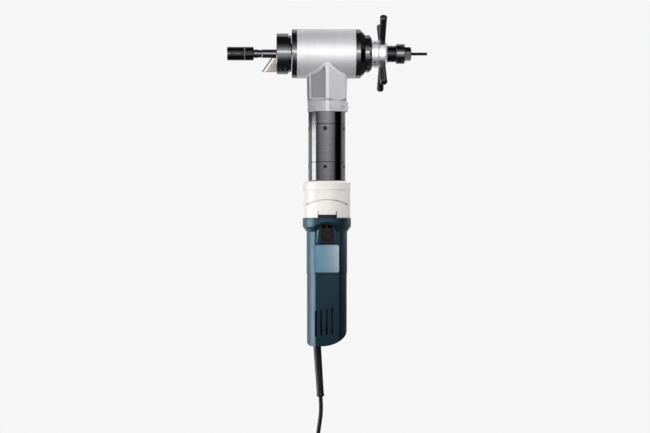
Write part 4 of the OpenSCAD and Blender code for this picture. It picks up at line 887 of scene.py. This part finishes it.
def plugProfile():
    low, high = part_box("plug_body")
    top, bottom = high[2] / mm, low[2] / mm
    radius = (high[0] - low[0]) / 2 / mm
    rows = [(far, top - down) for far, down in plug["collar"]]
    for k in range(plug["ribs"]):
        z = top - plug["firstRib"] - k * plug["ribPitch"]
        wide = plug["neck"] + plug["ribGrow"] * k
        thin = wide - plug["ribDepth"]
        rows += [(wide, z), (thin, z - 0.3), (thin, z - 1.1), (wide, z - 1.4)]
    grip = len(rows)
    rows += [(radius * share, top - down) for share, down in plug["grip"]]
    rim = len(rows)
    rows += [(radius - inside, bottom + up) for inside, up in plug["rim"]] + [(0, bottom)]
    centre = ((low[0] + high[0]) / 2, (low[1] + high[1]) / 2)
    return centre, [(r * mm, z * mm) for r, z in rows], grip, rim


def makePlug():
    centre, rows, grip, rim = plugProfile()

    def flute(row, angle):
        if grip < row < rim - 1:
            return -plug["fluteDepth"] * mm * (0.5 + 0.5 * math.cos(plug["flutes"] * angle))
        return 0.0

    mesh = turnMesh("plugMoulding", centre, rows, plug["columns"], flute)
    return addPiece("plugMoulding", mesh, "machine", "black_plastic", ("plug_body",))


# the strap round the hank: one length of woven band laid round the turns, its end lapped over the start.
# sizes in mm
strap = {
    "thick": 0.55, "corner": 3.2, "inset": 1.2, "rim": 0.35, "rimDraw": 0.4,
    "laps": 1.32, "liftFrom": 0.98, "liftOver": 0.04, "steps": 120,
}


# a share of the way round an upright block with round corners, and the way out there
def strapPoint(share, half, corner):
    w, d = half[0] - corner, half[1] - corner
    centres = [(w, d), (-w, d), (-w, -d), (w, -d)]
    legs = [2 * d, 2 * w, 2 * d, 2 * w]
    bend = math.pi / 2 * corner
    left = (share % 1) * (sum(legs) + 4 * bend)
    for i in range(4):
        (x, y), back = centres[i], max(legs[i] - left, 0)
        angle = i * math.pi / 2 + max(left - legs[i], 0) / corner
        out = (math.cos(angle), math.sin(angle))
        if left <= legs[i] + bend or i == 3:
            return (x + out[0] * corner + out[1] * back, y + out[1] * corner - out[0] * back), out
        left -= legs[i] + bend


def makeStrap():
    low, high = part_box("hank_tie")
    half = [(high[i] - low[i]) / 2 / mm - strap["inset"] for i in (0, 1)]
    middle = [(low[i] + high[i]) / 2 / mm for i in (0, 1)]
    bottom, top = low[2] / mm, high[2] / mm
    thick, rim = strap["thick"], strap["rim"]
    shoulder = thick - rim * strap["rimDraw"]
    section = [(0, bottom), (shoulder, bottom), (thick, bottom + rim), (thick, top - rim), (shoulder, top),
               (0, top)]
    build = bmesh.new()
    rings = []
    for k in range(strap["steps"] + 1):
        share = strap["laps"] * k / strap["steps"]
        (x, y), out = strapPoint(share, half, strap["corner"])
        lift = thick * min(max((share - strap["liftFrom"]) / strap["liftOver"], 0), 1)
        ring = [(middle[0] + x + out[0] * (lift + far), middle[1] + y + out[1] * (lift + far), z)
                for far, z in section]
        rings.append([build.verts.new(Vector(point) * mm) for point in ring])
    joinRings(build, rings, False)
    mesh = cleanMesh(meshFrom(build, "hankStrap"))
    return addPiece("hankStrap", mesh, "machine", "strap", ("hank_tie",))


plugMoulding = makePlug()
hankStrap = makeStrap()
print("trims, plug and strap made")

# studio: a pale floor well below the hank, and a pale room with cards that only metal and gloss see
studio = {
    "pale": "#f6f6f6",
    "floor": {"height": -0.95, "radius": 1.5, "rough": 0.9},
    "floorFade": {"From Min": 0.35, "From Max": 1.455, "To Min": 0.7},  # into the pale room
    "fill": 0.13,  # how much the room lights the object
    "lamps": {
        "frontLamp": {"place": (0.15, -1.9, 1.5), "aim": (0.13, 0.0, -0.1), "size": (3.0, 1.4),
                      "glow": 2.6},
        "keyLamp": {"place": (0.45, -0.3, 0.25), "aim": (0.13, 0.0, -0.03), "size": (0.25, 0.25),
                    "glow": 8.6},
        "leftLamp": {"place": (-0.35, -0.25, -0.4), "aim": (0.13, 0.0, -0.4), "size": (0.2, 0.42),
                     "glow": 1.5, "beam": 60},
        "backLamp": {"place": (0.1, 1.9, 1.1), "aim": (0.13, 0.0, -0.15), "size": (3.0, 1.4),
                     "glow": 3.4},
        "sideLamp": {"place": (-0.87, -0.035, -0.52), "aim": (0.13, 0.0, -0.52), "size": (0.57, 0.94),
                     "glow": 5.6, "mirrored": True},  # seen only as a reflection
    },
    # the cards stand round the machine's upright axis, between two bearings, counted from the camera towards
    # the jaws' side. rise gives their glow at heights, spread the share of it at bearings
    "cards": {
        "frontCard": {
            "radius": 0.5, "bearings": (-50, 62),
            "rise": [(-0.94, 0.06), (-0.535, 0.1), (-0.435, 0.17), (-0.35, 0.33), (-0.277, 0.65),
                     (-0.212, 1.18), (-0.153, 1.6), (-0.106, 1.8), (-0.053, 2.1), (-0.026, 2.4),
                     (0.0, 3.6), (0.022, 6.4), (0.061, 7.2), (0.088, 4.6), (0.115, 2.6), (0.143, 1.9),
                     (0.202, 1.6), (0.266, 1.03), (0.325, 0.65), (0.405, 0.41), (0.5, 0.21),
                     (0.617, 0.11), (0.8, 0.07)],
            "spread": [(-50, 0.1), (-46, 0.26), (-40, 0.49), (-33, 0.61), (-21, 0.79), (-9, 1.0), (4, 1.0),
                       (16, 0.85), (28, 0.73), (41, 0.58), (48, 0.43), (54, 0.31), (62, 0.2)],
        },
        "leftFlag": {"radius": 0.52, "bearings": (62, 71), "rise": [(-0.94, 0.25), (0.8, 0.25)]},
        "sideFlag": {"radius": 1.02, "bearings": (71, 150), "rise": [(-0.05, 0.2), (1.6, 0.2)]},
        "backFlag": {
            "radius": 1.02, "bearings": (-150, -96),
            "rise": [(-0.94, 0.08), (-0.3, 0.08), (-0.26, 0.9), (-0.02, 0.9), (0.02, 0.08), (1.6, 0.08)],
        },
        "rightCard": {
            "radius": 0.52, "bearings": (-96, -50),
            "rise": [(-0.94, 0.01), (0.08, 0.01), (0.13, 0.16), (0.4, 0.16), (0.5, 0.1), (0.8, 0.05)],
        },
    },
    "cardSteps": 16,
    "discs": {
        "roof": {"height": 0.81, "radius": 0.53, "y": -0.3, "glow": 0.05},
        "pit": {"height": -0.945, "radius": 1.3, "y": -0.66, "glow": 0.06},
    },
}


def makeWorld():
    world = bpy.data.worlds.new("studio")
    bpy.context.scene.world = world
    world.use_nodes = True
    world.cycles.sampling_method = "NONE"
    tree = world.node_tree
    tree.nodes.clear()
    path = addNode(tree, "ShaderNodeLightPath").outputs
    seen = plus(tree, path["Is Camera Ray"], path["Is Transmission Ray"])
    seen = plus(tree, seen, path["Is Glossy Ray"])
    colour = paint(studio["pale"])
    pale = addNode(tree, "ShaderNodeBackground", {"Color": colour, "Strength": 1.0})
    fill = addNode(tree, "ShaderNodeBackground", {"Color": colour, "Strength": studio["fill"]})
    mix = addNode(tree, "ShaderNodeMixShader", {0: seen, 1: fill.outputs[0], 2: pale.outputs[0]})
    addNode(tree, "ShaderNodeOutputWorld", {"Surface": mix.outputs[0]})


def makeLamps():
    for name, lamp in studio["lamps"].items():
        data = bpy.data.lights.new(name, "AREA")
        data.shape = "RECTANGLE"
        data.size, data.size_y = lamp["size"]
        data.energy = lamp["glow"] * math.pi * data.size * data.size_y
        data.spread = math.radians(lamp.get("beam", 180))
        thing = addObject(name, data)
        thing.location = lamp["place"]
        aim = Vector(lamp["aim"]) - Vector(lamp["place"])
        thing.rotation_euler = aim.to_track_quat("-Z", "Y").to_euler()
        mirrored = lamp.get("mirrored", False)
        thing.visible_camera = False
        thing.visible_glossy = mirrored
        thing.visible_diffuse = not mirrored


def addCard(name, build, rise, spread=None):
    mesh = meshFrom(build, name)
    material, tree = newMaterial(name)
    tree.nodes.clear()
    point = addNode(tree, "ShaderNodeTexCoord").outputs["Object"]
    place = addNode(tree, "ShaderNodeSeparateXYZ", {0: point}).outputs
    glow = readLevels(tree, place["Z"], rise)
    if spread:
        bearing = calc(tree, "ARCTAN2", minus(tree, motorX, place["X"]), times(tree, place["Y"], -1.0))
        glow = times(tree, glow, readLevels(tree, calc(tree, "DEGREES", bearing), spread))
    light = addNode(tree, "ShaderNodeEmission", {"Color": paint(studio["pale"]), "Strength": glow})
    addNode(tree, "ShaderNodeOutputMaterial", {"Surface": light.outputs[0]})
    material.cycles.emission_sampling = "FRONT_BACK" if spread else "NONE"
    mesh.materials.append(material)
    thing = addObject(name, mesh)
    thing.visible_camera = False
    thing.visible_diffuse = False
    thing.visible_transmission = False
    thing.visible_shadow = False


def makeCards():
    steps = studio["cardSteps"]
    for name, card in studio["cards"].items():
        build = bmesh.new()
        first, last = card["bearings"]
        heights = (card["rise"][0][0], card["rise"][-1][0])
        rows = []
        for k in range(steps + 1):
            angle = math.radians(first + (last - first) * k / steps)
            x, y = motorX - math.sin(angle) * card["radius"], -math.cos(angle) * card["radius"]
            rows.append([build.verts.new((x, y, z)) for z in heights])
        for low, high in zip(rows, rows[1:]):
            build.faces.new((low[0], high[0], high[1], low[1]))
        addCard(name, build, card["rise"], card.get("spread"))
    for name, disc in studio["discs"].items():
        build = bmesh.new()
        bmesh.ops.create_circle(build, cap_ends=True, segments=48, radius=disc["radius"])
        bmesh.ops.translate(build, verts=build.verts, vec=(motorX, disc["y"], disc["height"]))
        addCard(name, build, [(disc["height"] - 0.1, disc["glow"]), (disc["height"] + 0.1, disc["glow"])])


def makeFloor(floor):
    centre = (camera["target"][0], 0, floor["height"])
    build = bmesh.new()
    bmesh.ops.create_circle(build, cap_ends=True, segments=96, radius=floor["radius"])
    bmesh.ops.translate(build, verts=build.verts, vec=centre)
    mesh = meshFrom(build, "floor")
    material, tree = newMaterial("floorPaper")
    shader = tree.nodes["Principled BSDF"]
    shader.inputs["Base Color"].default_value = paint(studio["pale"])
    shader.inputs["Roughness"].default_value = floor["rough"]
    shader.inputs["Specular IOR Level"].default_value = 0.0
    glow = addNode(tree, "ShaderNodeEmission", {"Color": paint(studio["pale"]), "Strength": 1.0})
    path = addNode(tree, "ShaderNodeLightPath").outputs
    place = addNode(tree, "ShaderNodeTexCoord").outputs["Object"]
    away = vectorCalc(tree, "DISTANCE", place, centre)["Value"]
    fade = addNode(tree, "ShaderNodeMapRange", {"Value": away, **studio["floorFade"]},
                   interpolation_type="SMOOTHSTEP")
    share = times(tree, fade.outputs[0], path["Is Camera Ray"])
    mix = addNode(tree, "ShaderNodeMixShader", {0: share, 1: shader.outputs[0], 2: glow.outputs[0]})
    tree.links.new(mix.outputs[0], tree.nodes["Material Output"].inputs["Surface"])
    mesh.materials.append(material)
    addObject("floor", mesh)


makeWorld()
makeLamps()
makeCards()
makeFloor(studio["floor"])
bpy.context.scene.view_settings.view_transform = "Standard"
print("studio ready")
